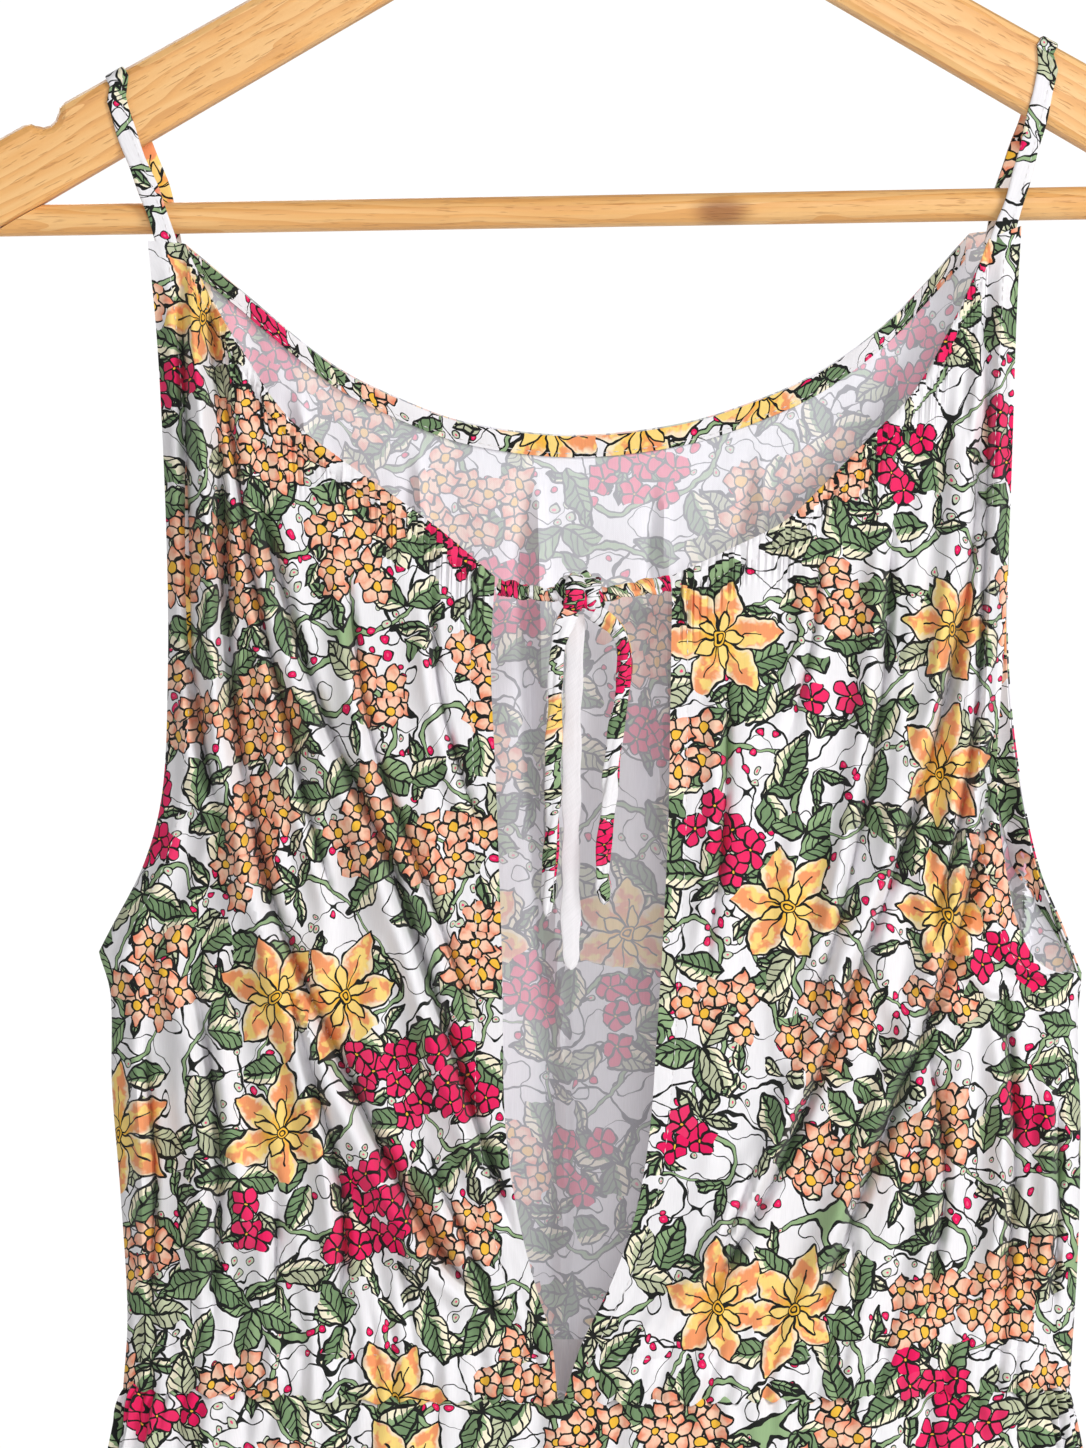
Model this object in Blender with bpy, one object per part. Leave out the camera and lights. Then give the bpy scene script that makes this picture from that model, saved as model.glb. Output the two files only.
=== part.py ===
"""A strappy mini dress that hangs on a flat wooden hanger, each piece of cloth a thin closed wall.

Tables and sizes are in millimetres, and the meshes are in metres. +Z is up, the front faces -Y, and the
origin is the inner top of the hanger's hook, where a rail holds it. X is measured from the centre line of the
hanger.
"""

import math

import bmesh
import bpy
import numpy as np

MM = 0.001

# Cloth, seams and trims
WALL = 1.2
TRIM_WALL = 1.0
GAP = 0.3
SEAM_HALF_GAP = 0.15
BINDING_WIDTH = 7.5
CASING_HEIGHT = 19.0
STRAP_WIDTH = 6.6
NECK_TIE_DIAMETER = 4.4
END_TIE_DIAMETER = 4.6
KNOT_SIZE = (15.0, 9.0, 12.0)
HEM_Z = -990.0

# A trim's middle lies this far inside its panel's, and these lengths turn its width into a panel's shares
TRIM_INSET = WALL / 2 + GAP + TRIM_WALL / 2 + 0.4
ARMHOLE_INSET = TRIM_INSET + 0.3
BACK_DROP = 335.0
SIDE_LENGTH = 395.0

# Grid of each panel: columns across and rows down
FRONT_GRID = (26, 18)
BACK_GRID = (46, 16)
SKIRT_GRID = (66, 8)
ARMHOLE_SHARE = 0.62

# Shares of a panel's top edge that the strap's seam takes, of its width that a side seam or a free edge keeps
# flat, and of the back's width that the neck binding and the waist casing leave free at each end
STRAP_SEAM_SHARE = 0.08
SIDE_CALM = 0.05
EDGE_CALM = 0.03
BINDING_END = 0.05
CASING_END = 0.04

# An armhole's binding starts this far down, and turns from the armhole's edge to the underarm past this share
ARMHOLE_BINDING_START = 0.02
ARMHOLE_TURN_START = 0.70

# Hanger
HANGER_THICKNESS = 14.0
HANGER_BEVEL = 3.0
ARM_TOP_APEX_Z = -65.3
ARM_TOP_ANGLE = math.radians(29.2)
ARM_UNDER_APEX_Z = -90.5
ARM_UNDER_ANGLE = math.radians(30.3)
ARM_REACH = 232.0
CROWN_RADIUS = 48.0
ARCH_RADIUS = 30.0
NOTCH_FROM_CENTRE = 193.0
NOTCH_RADIUS = 5.0
NOTCH_DEPTH = 4.5
BAR_DIAMETER = 11.0
BAR_LEFT_Z = -209.3
BAR_RIGHT_Z = -202.8
BAR_SIDES = 20
HOOK_WIRE = 3.6
HOOK_INNER_RADIUS = 18.0
HOOK_STEM = 8.0
HOOK_BEND = ((1.2, 16.0), (7.5, 40.0))
HOOK_ARC_DEGREES = (-40, 216, 15)

# Where the cloth lies in front of and behind the hanger at the straps
STRAP_STANDOFF = HANGER_THICKNESS / 2 + GAP + TRIM_WALL / 2

# Outlines seen from the front: x, z
ARMHOLE_LEFT = (
    (-157.4, -216.6),
    (-154.0, -252.0),
    (-151.0, -312.0),
    (-150.3, -360.0),
    (-152.7, -407.0),
    (-159.1, -430.0),
    (-169.7, -450.5),
    (-174.1, -459.0),
)
SIDE_LEFT = (
    (-174.1, -459.0),
    (-170.4, -472.0),
    (-169.7, -505.0),
    (-166.9, -540.0),
    (-164.4, -584.0),
    (-165.9, -608.0),
)
ARMHOLE_RIGHT_BACK = (
    (140.4, -211.5),
    (138.7, -244.0),
    (137.0, -305.0),
    (136.3, -356.0),
    (139.4, -393.0),
    (146.9, -431.0),
    (154.7, -450.0),
    (160.8, -466.0),
)
ARMHOLE_RIGHT_FRONT = (
    (140.1, -211.5),
    (138.4, -244.0),
    (136.3, -305.0),
    (134.0, -356.0),
    (131.6, -403.0),
    (134.6, -431.0),
    (138.7, -449.5),
    (144.5, -461.0),
    (151.5, -465.5),
    (160.8, -466.0),
)
SIDE_RIGHT = (
    (160.8, -466.0),
    (159.5, -482.0),
    (160.5, -519.0),
    (159.5, -563.0),
    (156.7, -608.0),
)
STRAP_SEAM_LEFT = ((-157.4, -216.6), (-144.8, -217.6))
STRAP_SEAM_RIGHT = ((129.2, -215.9), (140.1, -211.5))
STRAP_SEAM_BACK_LEFT = ((-157.4, -216.6), (-145.5, -216.6))
STRAP_SEAM_BACK_RIGHT = ((123.4, -213.0), (140.4, -211.5))
NECK_LEFT = (
    (-144.8, -217.6),
    (-136.7, -235.0),
    (-126.1, -252.6),
    (-110.8, -275.5),
    (-93.5, -289.7),
    (-74.5, -303.0),
    (-57.8, -315.2),
    (-39.1, -331.2),
)
NECK_RIGHT = (
    (129.2, -215.9),
    (120.7, -236.3),
    (103.7, -267.6),
    (86.7, -285.3),
    (71.4, -301.0),
    (59.5, -312.1),
    (40.8, -321.7),
    (21.1, -330.8),
)
KEYHOLE_LEFT = (
    (-39.1, -331.2),
    (-40.5, -358.0),
    (-38.8, -400.0),
    (-36.7, -460.0),
    (-35.4, -519.0),
    (-30.9, -549.5),
    (-25.2, -572.0),
    (-19.9, -590.0),
    (-17.8, -611.6),
)
KEYHOLE_RIGHT = (
    (21.1, -330.8),
    (20.4, -373.0),
    (19.4, -420.6),
    (15.6, -488.6),
    (12.9, -522.6),
    (8.0, -549.0),
    (0.0, -571.2),
    (-10.0, -592.0),
    (-16.2, -611.6),
)
NECK_BACK = (
    (-145.5, -216.6),
    (-126.1, -232.6),
    (-94.5, -258.1),
    (-70.7, -270.0),
    (-49.6, -277.5),
    (-13.0, -282.0),
    (24.1, -278.1),
    (47.9, -271.0),
    (71.4, -260.5),
    (94.9, -243.5),
    (123.4, -213.0),
)
WAIST_LEFT = ((-165.9, -608.0), (-90.0, -610.5), (-17.8, -611.6))
WAIST_RIGHT = ((-16.2, -611.6), (70.0, -610.5), (156.7, -608.0))
WAIST_BACK = ((-165.9, -608.0), (-90.0, -610.5), (-17.0, -611.6), (70.0, -610.5), (156.7, -608.0))

# How far the cloth stands in front of and behind the side seams: z, front, back, free edge
DEPTHS = (
    (-205.0, 8.2, 8.2, 7.9),
    (-225.0, 8.6, 8.4, 7.9),
    (-300.0, 14.0, 11.5, 7.0),
    (-380.0, 20.0, 15.5, 5.5),
    (-430.0, 24.0, 18.0, 3.2),
    (-458.0, 25.0, 19.0, 1.2),
    (-470.0, 25.0, 19.0, 0.15),
    (-520.0, 24.0, 19.0, 0.15),
    (-580.0, 21.5, 18.5, 0.15),
    (-625.0, 20.0, 18.0, 0.15),
)

# Long soft folds: share across at the top, share across at the waist, half width as a share, height
FOLDS_FRONT_LEFT = (
    (0.03, 0.07, 0.022, 2.2),
    (0.09, 0.20, 0.026, 2.8),
    (0.17, 0.34, 0.030, 3.2),
    (0.28, 0.47, 0.034, 2.9),
    (0.42, 0.60, 0.032, 2.4),
    (0.58, 0.74, 0.030, 2.0),
    (0.76, 0.87, 0.028, 1.6),
)
FOLDS_FRONT_RIGHT = (
    (0.20, 0.12, 0.028, 1.6),
    (0.38, 0.25, 0.030, 2.2),
    (0.54, 0.40, 0.032, 2.5),
    (0.68, 0.54, 0.030, 2.9),
    (0.80, 0.67, 0.030, 3.0),
    (0.89, 0.80, 0.026, 3.0),
    (0.96, 0.92, 0.022, 2.4),
)
FOLDS_BACK = (
    (0.05, 0.06, 0.014, 2.0),
    (0.12, 0.16, 0.018, 2.4),
    (0.22, 0.27, 0.020, 1.8),
    (0.36, 0.39, 0.020, 1.5),
    (0.50, 0.50, 0.022, 1.4),
    (0.64, 0.61, 0.020, 1.5),
    (0.77, 0.73, 0.020, 1.9),
    (0.87, 0.84, 0.018, 2.4),
    (0.95, 0.94, 0.014, 2.0),
)

# Small gathers along a panel's top and waist: waves across it, height, how far they reach as a share
GATHERS_FRONT = {"neck": (7, 0.55, 0.10), "waist": (9, 1.0, 0.16)}
GATHERS_BACK = {"neck": (0, 0.0, 0.10), "waist": (18, 1.0, 0.16)}

# Skirt rings from the waist down: share of the way down, half width, front depth, back depth, wave height
SKIRT_RINGS = (
    (0.00, 161.3, 20.3, 18.2, 1.1),
    (0.05, 165.5, 23.5, 21.0, 2.2),
    (0.25, 180.0, 34.0, 31.0, 3.8),
    (0.60, 206.0, 47.0, 44.0, 5.6),
    (1.00, 230.0, 56.0, 53.0, 7.2),
)
SKIRT_CENTRE_X = -4.6
WAIST_GAP = 0.5
SKIRT_WAVES = 15
SKIRT_WAVE_DRIFT = 0.9
SKIRT_WAVE_WANDER = (0.05, 0.03)
SKIRT_SEAM_CALM = 0.16
SKIRT_ROW_SPREAD = 1.25

# Routes of the tie, by hand: x, y, z
TIE_RUN_LEFT = (
    (-38.2, -15.6, -334.5),
    (-31.0, -17.0, -336.0),
    (-24.0, -18.0, -337.0),
    (-17.6, -18.4, -337.4),
)
TIE_RUN_RIGHT = (
    (20.3, -15.6, -333.6),
    (13.0, -17.0, -334.6),
    (5.0, -18.0, -336.0),
    (-2.5, -18.4, -337.3),
)
TIE_END_LEFT = (
    (-13.5, -21.8, -343.1),
    (-17.2, -23.4, -354.0),
    (-18.6, -23.6, -373.0),
    (-19.6, -23.9, -394.0),
    (-19.4, -24.2, -415.0),
    (-20.6, -24.4, -432.0),
    (-21.6, -24.6, -446.4),
)
TIE_END_BACK = (
    (-12.1, -16.4, -344.0),
    (-12.0, -16.2, -358.0),
    (-12.9, -16.6, -385.0),
    (-13.2, -17.0, -415.0),
    (-13.4, -17.4, -442.0),
    (-13.2, -17.6, -464.6),
)
TIE_END_RIGHT = (
    (-5.4, -19.5, -343.3),
    (1.4, -20.4, -347.8),
    (4.6, -20.8, -355.0),
    (3.6, -21.2, -373.0),
    (0.9, -21.8, -394.0),
    (-1.0, -22.2, -412.0),
    (-2.4, -22.6, -426.0),
    (-2.0, -22.8, -442.4),
)
KNOT_CENTRE = (-10.0, -18.6, -337.8)

# Places along each side of a strap, and round each of the arm's edges
STRAP_STATIONS = 7
STRAP_TURN_STATIONS = 4

# Strap routes from the front seam to the arm, and from the arm down to the back seam: x, z
STRAP_FRONT_LEFT = ((-151.7, -215.4), (-155.0, -205.0), (-163.6, -183.0), (-168.6, -166.5))
STRAP_BACK_LEFT = ((-168.6, -166.5), (-160.0, -183.0), (-152.5, -203.0), (-150.0, -215.5))
STRAP_FRONT_RIGHT = ((134.7, -210.9), (137.8, -203.0), (145.6, -174.0), (149.7, -155.5))
STRAP_BACK_RIGHT = ((149.7, -155.5), (143.0, -176.0), (135.4, -198.0), (132.4, -210.7))

# Colour, roughness, metallic
FINISHES = {
    "print_cloth": ((0.80, 0.62, 0.52), 0.78, 0.0),
    "trim_cloth": ((0.72, 0.32, 0.36), 0.78, 0.0),
    "wood": ((0.83, 0.50, 0.24), 0.42, 0.0),
    "hook_metal": ((0.72, 0.72, 0.74), 0.25, 1.0),
}


def smooth_curve(rows, samples=24):
    """Points of a centripetal Catmull-Rom curve through the rows, which are at least two points."""
    rows = np.asarray(rows, float)
    ends = np.vstack([2 * rows[0] - rows[1], rows, 2 * rows[-1] - rows[-2]])
    points = []
    for a, b, c, d in zip(ends[:-3], ends[1:-2], ends[2:-1], ends[3:]):
        t0 = 0.0
        t1 = t0 + math.sqrt(np.linalg.norm(b - a))
        t2 = t1 + math.sqrt(np.linalg.norm(c - b))
        t3 = t2 + math.sqrt(np.linalg.norm(d - c))
        for t in np.linspace(t1, t2, samples, endpoint=False):
            ab = (t1 - t) / (t1 - t0) * a + (t - t0) / (t1 - t0) * b
            bc = (t2 - t) / (t2 - t1) * b + (t - t1) / (t2 - t1) * c
            cd = (t3 - t) / (t3 - t2) * c + (t - t2) / (t3 - t2) * d
            abc = (t2 - t) / (t2 - t0) * ab + (t - t0) / (t2 - t0) * bc
            bcd = (t3 - t) / (t3 - t1) * bc + (t - t1) / (t3 - t1) * cd
            points.append((t2 - t) / (t2 - t1) * abc + (t - t1) / (t2 - t1) * bcd)
    points.append(rows[-1])
    return np.array(points)


def by_length(points, t):
    """The points at the shares t of a dense curve's length."""
    steps = np.linalg.norm(np.diff(points, axis=0), axis=1)
    length = np.concatenate([[0.0], np.cumsum(steps)])
    at = np.clip(t, 0.0, 1.0) * length[-1]
    return np.stack([np.interp(at, length, points[:, k]) for k in range(points.shape[1])], axis=-1)


class Edge:
    """A panel's edge: smooth stretches one after the other, each with its share of the way along."""

    def __init__(self, stretches, shares=(1.0,)):
        self.curves = [smooth_curve(rows) for rows in stretches]
        self.stops = np.concatenate([[0.0], np.cumsum(shares)])

    def at(self, t):
        t = np.clip(np.asarray(t, float), 0.0, 1.0)
        found = np.zeros(t.shape + (2,))
        for curve, low, high in zip(self.curves, self.stops[:-1], self.stops[1:]):
            inside = (t >= low) & (t <= high)
            found[inside] = by_length(curve, (t[inside] - low) / (high - low))
        return found


def row_reader(rows):
    """A function that reads a table's columns at any value of its first one."""
    dense = smooth_curve(rows)
    order = np.argsort(dense[:, 0])
    dense = dense[order]
    return lambda key: [np.interp(key, dense[:, 0], dense[:, k]) for k in range(1, dense.shape[1])]


depth_at = row_reader(DEPTHS)
left_at = row_reader([(z, x) for x, z in ARMHOLE_LEFT + SIDE_LEFT[1:]])
right_at = row_reader([(z, x) for x, z in ARMHOLE_RIGHT_BACK + SIDE_RIGHT[1:]])
ring_at = row_reader(SKIRT_RINGS)


def cloth_depth(x, z, facing):
    """The y of the bodice at x, z; facing is -1 for the front and 1 for the back."""
    front, back, edge = depth_at(z)
    full = front if facing < 0 else back
    edge = np.maximum(edge, SEAM_HALF_GAP)
    (left,), (right,) = left_at(z), right_at(z)
    across = np.clip((2 * x - left - right) / (right - left), -1.0, 1.0)
    return facing * (edge + (full - edge) * np.sqrt(1.0 - across**2))


def ease(value):
    """0 to 1 with flat ends."""
    value = np.clip(value, 0.0, 1.0)
    return value * value * (3.0 - 2.0 * value)


class Panel:
    """A bodice panel between four edges: u runs across from the left edge, v runs down from the top."""

    def __init__(self, facing, left, right, top, bottom, folds, gathers, open_sides):
        self.facing = facing
        self.left, self.right, self.top, self.bottom = left, right, top, bottom
        self.folds, self.gathers = folds, gathers
        self.open_sides = open_sides

    def outline(self, u, v):
        u, v = np.broadcast_arrays(np.asarray(u, float), np.asarray(v, float))
        across, down = u[..., None], v[..., None]
        corners = [self.top.at(np.array(t)) for t in (0.0, 1.0)]
        corners += [self.bottom.at(np.array(t)) for t in (0.0, 1.0)]
        sides = (1 - across) * self.left.at(v) + across * self.right.at(v)
        ends = (1 - down) * self.top.at(u) + down * self.bottom.at(u)
        top = (1 - across) * corners[0] + across * corners[1]
        low = (1 - across) * corners[2] + across * corners[3]
        return sides + ends - (1 - down) * top - down * low

    def relief(self, u, v):
        """Height of the folds and gathers, outwards."""
        height = np.zeros(np.broadcast(u, v).shape)
        for top, low, width, rise in self.folds:
            middle = top + (low - top) * v**0.8
            height += rise * np.exp(-(((u - middle) / width) ** 2))
        height *= 0.35 + 0.65 * ease(v / 0.35) - 0.45 * ease((v - 0.75) / 0.25)
        waves, rise, reach = self.gathers["neck"]
        height += rise * np.cos(2 * math.pi * waves * u) * ease(1 - v / reach)
        waves, rise, reach = self.gathers["waist"]
        height += rise * np.cos(2 * math.pi * waves * u) * ease((v - 1 + reach) / reach)
        calm = np.ones(height.shape)
        for side, closed in zip((u, 1 - u), self.open_sides):
            calm = calm * ease(side / closed)
        return height * calm

    def points(self, u, v):
        flat = self.outline(u, v)
        x, z = flat[..., 0], flat[..., 1]
        y = cloth_depth(x, z, self.facing) + self.facing * self.relief(u, v)
        return np.stack([x, y, z], axis=-1)

    def normals(self, u, v, step=0.012):
        """Outward unit normals, from points a short step either way."""
        u, v = np.broadcast_arrays(np.asarray(u, float), np.asarray(v, float))
        across = self.points(np.minimum(u + step, 1), v) - self.points(np.maximum(u - step, 0), v)
        down = self.points(u, np.minimum(v + step, 1)) - self.points(u, np.maximum(v - step, 0))
        return unit(np.cross(across, down) * self.facing)

    def set_grid(self, u, v, points, normals):
        """Keeps the wall's own grid, which the trims inside it follow."""
        self.u, self.v = u, v
        self.grid = np.concatenate([points, normals], axis=-1)

    def on_grid(self, u, v):
        """Points and normals of the wall's middle, read between the corners of its facets."""
        u, v = np.broadcast_arrays(np.asarray(u, float), np.asarray(v, float))
        column = np.clip(np.searchsorted(self.u, u, side="right") - 1, 0, len(self.u) - 2)
        row = np.clip(np.searchsorted(self.v, v, side="right") - 1, 0, len(self.v) - 2)
        across = ((u - self.u[column]) / (self.u[column + 1] - self.u[column]))[..., None]
        down = ((v - self.v[row]) / (self.v[row + 1] - self.v[row]))[..., None]
        top = (1 - across) * self.grid[row, column] + across * self.grid[row, column + 1]
        low = (1 - across) * self.grid[row + 1, column] + across * self.grid[row + 1, column + 1]
        found = (1 - down) * top + down * low
        return found[..., :3], unit(found[..., 3:])


def unit(vectors):
    return vectors / np.linalg.norm(vectors, axis=-1, keepdims=True)


def clear_scene():
    for thing in list(bpy.data.objects):
        bpy.data.objects.remove(thing, do_unlink=True)


def finish(name):
    material = bpy.data.materials.get(name)
    if material is None:
        colour, roughness, metallic = FINISHES[name]
        material = bpy.data.materials.new(name)
        material.use_nodes = True
        shader = material.node_tree.nodes["Principled BSDF"]
        shader.inputs["Base Color"].default_value = (*colour, 1.0)
        shader.inputs["Roughness"].default_value = roughness
        shader.inputs["Metallic"].default_value = metallic
        material.diffuse_color = (*colour, 1.0)
    return material


def add_mesh(name, verts, faces, slot):
    """A closed mesh object from points in millimetres, with its faces turned outwards."""
    mesh = bpy.data.meshes.new(name)
    mesh.from_pydata([tuple(float(c) * MM for c in p) for p in verts], [], faces)
    body = bmesh.new()
    body.from_mesh(mesh)
    bmesh.ops.recalc_face_normals(body, faces=body.faces)
    body.to_mesh(mesh)
    body.free()
    mesh.shade_smooth()
    mesh.set_sharp_from_angle(angle=math.radians(50))
    thing = bpy.data.objects.new(name, mesh)
    thing.data.materials.append(finish(slot))
    bpy.context.scene.collection.objects.link(thing)
    return thing


def add_wall(name, middle, normals, thickness, slot):
    """A sheet of points, rows by columns, thickened half to each side of its middle."""
    rows, columns = middle.shape[:2]
    outer = (middle + normals * thickness / 2).reshape(-1, 3)
    inner = (middle - normals * thickness / 2).reshape(-1, 3)
    size = rows * columns
    faces = []
    for r in range(rows - 1):
        for c in range(columns - 1):
            a, b = r * columns + c, r * columns + c + 1
            d, e = a + columns, b + columns
            faces.append((a, b, e, d))
            faces.append((a + size, d + size, e + size, b + size))
    top = list(range(columns))
    low = [(rows - 1) * columns + c for c in range(columns)]
    left = [r * columns for r in range(rows)]
    right = [r * columns + columns - 1 for r in range(rows)]
    for rim, flip in ((top, True), (low, False), (left, False), (right, True)):
        for a, b in zip(rim[:-1], rim[1:]):
            face = (a, b, b + size, a + size)
            faces.append(face[::-1] if flip else face)
    return add_mesh(name, np.vstack([outer, inner]), faces, slot)


def side_stations(rows):
    """Rows down a panel, with one at the underarm, and whether each is on the side seam."""
    above = round(rows * ARMHOLE_SHARE)
    v = np.concatenate([
        np.linspace(0, ARMHOLE_SHARE, above + 1),
        np.linspace(ARMHOLE_SHARE, 1, rows - above + 1)[1:],
    ])
    return v, v >= ARMHOLE_SHARE


def edge_crowded(columns, seam_left, seam_right):
    """Columns across a panel, closer together beside a side seam, where the cloth turns."""
    u = np.linspace(0, 1, columns + 1)
    if seam_left:
        u = u - 0.5 * np.sin(math.pi * u) * (1 - u) / columns
    if seam_right:
        u = u + 0.5 * np.sin(math.pi * u) * u / columns
    return u


def build_panel(name, panel, grid, seam_left, seam_right):
    u = edge_crowded(grid[0], seam_left, seam_right)
    v, on_seam = side_stations(grid[1])
    uu, vv = np.meshgrid(u, v)
    middle, normals = panel.points(uu, vv), panel.normals(uu, vv)
    for used, column, x in ((seam_left, 0, -1.0), (seam_right, -1, 1.0)):
        if used:
            normals[on_seam, column] = (x, 0.0, 0.0)
    for row in (0, -1):
        normals[row, :, 2] = 0.0
        normals[row] = unit(normals[row])
    panel.set_grid(u, v, middle, normals)
    add_wall(name, middle, normals, WALL, "print_cloth")


def bodice_panels():
    side_left = Edge((ARMHOLE_LEFT, SIDE_LEFT), (ARMHOLE_SHARE, 1 - ARMHOLE_SHARE))
    back_right = Edge((ARMHOLE_RIGHT_BACK, SIDE_RIGHT), (ARMHOLE_SHARE, 1 - ARMHOLE_SHARE))
    front_right = Edge((ARMHOLE_RIGHT_FRONT, SIDE_RIGHT), (ARMHOLE_SHARE, 1 - ARMHOLE_SHARE))
    seam = STRAP_SEAM_SHARE
    left = Panel(
        -1,
        side_left,
        Edge((KEYHOLE_LEFT,)),
        Edge((STRAP_SEAM_LEFT, NECK_LEFT), (seam, 1 - seam)),
        Edge((WAIST_LEFT,)),
        FOLDS_FRONT_LEFT,
        GATHERS_FRONT,
        (SIDE_CALM, EDGE_CALM),
    )
    right = Panel(
        -1,
        Edge((KEYHOLE_RIGHT,)),
        front_right,
        Edge((NECK_RIGHT[::-1], STRAP_SEAM_RIGHT), (1 - seam, seam)),
        Edge((WAIST_RIGHT,)),
        FOLDS_FRONT_RIGHT,
        GATHERS_FRONT,
        (EDGE_CALM, SIDE_CALM),
    )
    back = Panel(
        1,
        side_left,
        back_right,
        Edge((STRAP_SEAM_BACK_LEFT, NECK_BACK, STRAP_SEAM_BACK_RIGHT), (seam / 2, 1 - seam, seam / 2)),
        Edge((WAIST_BACK,)),
        FOLDS_BACK,
        GATHERS_BACK,
        (EDGE_CALM, EDGE_CALM),
    )
    return {"front_left": left, "front_right": right, "back": back}


def build_bodice(panels):
    build_panel("front_left", panels["front_left"], FRONT_GRID, True, False)
    build_panel("front_right", panels["front_right"], FRONT_GRID, False, True)
    build_panel("back", panels["back"], BACK_GRID, True, True)


def inside_of(panel, u, v, inset=TRIM_INSET):
    """Points and normals of a trim that lies on a panel's inner face."""
    points, normals = panel.on_grid(u, v)
    return points - normals * inset, normals


def build_back_neck_binding(back):
    """The bias strip turned to the inside along the back neckline."""
    u = back.u[(back.u > BINDING_END) & (back.u < 1 - BINDING_END)]
    drop = BINDING_WIDTH / BACK_DROP
    uu, vv = np.meshgrid(u, np.array([0.004, drop / 2, drop]))
    middle, normals = inside_of(back, uu, vv)
    add_wall("back_neck_binding", middle, normals, TRIM_WALL, "trim_cloth")


def build_waist_casing(back):
    """The elastic's casing inside the back of the waist."""
    u = back.u[(back.u > CASING_END) & (back.u < 1 - CASING_END)]
    v = np.linspace(1 - CASING_HEIGHT / BACK_DROP, 0.999, 3)
    middle, normals = inside_of(back, *np.meshgrid(u, v))
    normals[-1, :, 2] = 0.0
    normals[-1] = unit(normals[-1])
    add_wall("waist_casing", middle, normals, TRIM_WALL, "trim_cloth")


def armhole_strip(panel, side_u):
    """Sections of an armhole's binding on one panel, from the strap to the underarm."""
    v = panel.v[panel.v < ARMHOLE_SHARE - 0.001]
    v[0] = ARMHOLE_BINDING_START
    v = np.append(v, ARMHOLE_SHARE)
    turn = ease((v / ARMHOLE_SHARE - ARMHOLE_TURN_START) / (1 - ARMHOLE_TURN_START)) * math.pi / 2
    left, _ = panel.on_grid(np.zeros(v.shape), v)
    right, _ = panel.on_grid(np.ones(v.shape), v)
    across = np.linalg.norm(right - left, axis=-1)
    inward = 1.0 if side_u == 0 else -1.0
    uu = np.stack([np.full(v.shape, side_u), side_u + inward * BINDING_WIDTH / across * np.cos(turn)])
    vv = np.stack([v, v + BINDING_WIDTH / SIDE_LENGTH * np.sin(turn)])
    return inside_of(panel, uu, vv, ARMHOLE_INSET)


def build_armhole_binding(name, front, back, side_u, outward_x):
    """The bias strip inside an armhole, from the front strap round the underarm to the back strap."""
    front_points, front_normals = armhole_strip(front, side_u)
    back_points, back_normals = (part[:, ::-1] for part in armhole_strip(back, side_u))
    underarm = (front_points[:, -1:] + back_points[:, :1]) / 2
    outward = np.broadcast_to((outward_x, 0.0, 0.0), underarm.shape)
    middle = np.concatenate([front_points[:, :-1], underarm, back_points[:, 1:]], axis=1)
    normals = np.concatenate([front_normals[:, :-1], outward, back_normals[:, 1:]], axis=1)
    add_wall(name, middle, normals, TRIM_WALL, "trim_cloth")


def skirt_points(theta, down, facing):
    """Points and outward normals of the skirt; theta is 0 at the left seam and pi at the right one."""
    half, front, back, wave = ring_at(down)
    depth = front if facing < 0 else back
    x = SKIRT_CENTRE_X - half * np.cos(theta)
    y = facing * (SEAM_HALF_GAP + depth * np.sin(theta))
    out = unit(np.stack([-depth * np.cos(theta), facing * half * np.sin(theta)], axis=-1))
    wide, narrow = SKIRT_WAVE_WANDER
    turn = theta + wide * np.sin(5 * theta + facing) + narrow * np.sin(11 * theta) * down
    phase = 2 * SKIRT_WAVES * turn + SKIRT_WAVE_DRIFT * facing * down * np.sin(2 * theta)
    calm = ease(np.sin(theta) / SKIRT_SEAM_CALM)
    ruffle = wave * calm * (0.8 + 0.2 * np.sin(3 * theta + 1)) * np.sin(phase)
    waist = np.interp(x, [p[0] for p in WAIST_BACK], [p[1] for p in WAIST_BACK])
    z = (waist - WAIST_GAP) * (1 - down) + HEM_Z * down
    return np.stack([x + out[..., 0] * ruffle, y + out[..., 1] * ruffle, z], axis=-1)


def build_skirt(name, facing):
    theta = np.linspace(0, math.pi, SKIRT_GRID[0] + 1)
    down = np.linspace(0, 1, SKIRT_GRID[1] + 1) ** SKIRT_ROW_SPREAD
    tt, dd = np.meshgrid(theta, down)
    middle = skirt_points(tt, dd, facing)
    across = np.gradient(middle, axis=1)
    along = np.gradient(middle, axis=0)
    normals = unit(np.cross(across, along) * facing)
    normals[:, 0] = (-1.0, 0.0, 0.0)
    normals[:, -1] = (1.0, 0.0, 0.0)
    for row in (0, -1):
        normals[row, :, 2] = 0.0
        normals[row] = unit(normals[row])
    add_wall(name, middle, normals, WALL, "print_cloth")


def arm_top_z(x):
    return ARM_TOP_APEX_Z - abs(x) * math.tan(ARM_TOP_ANGLE)


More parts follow.
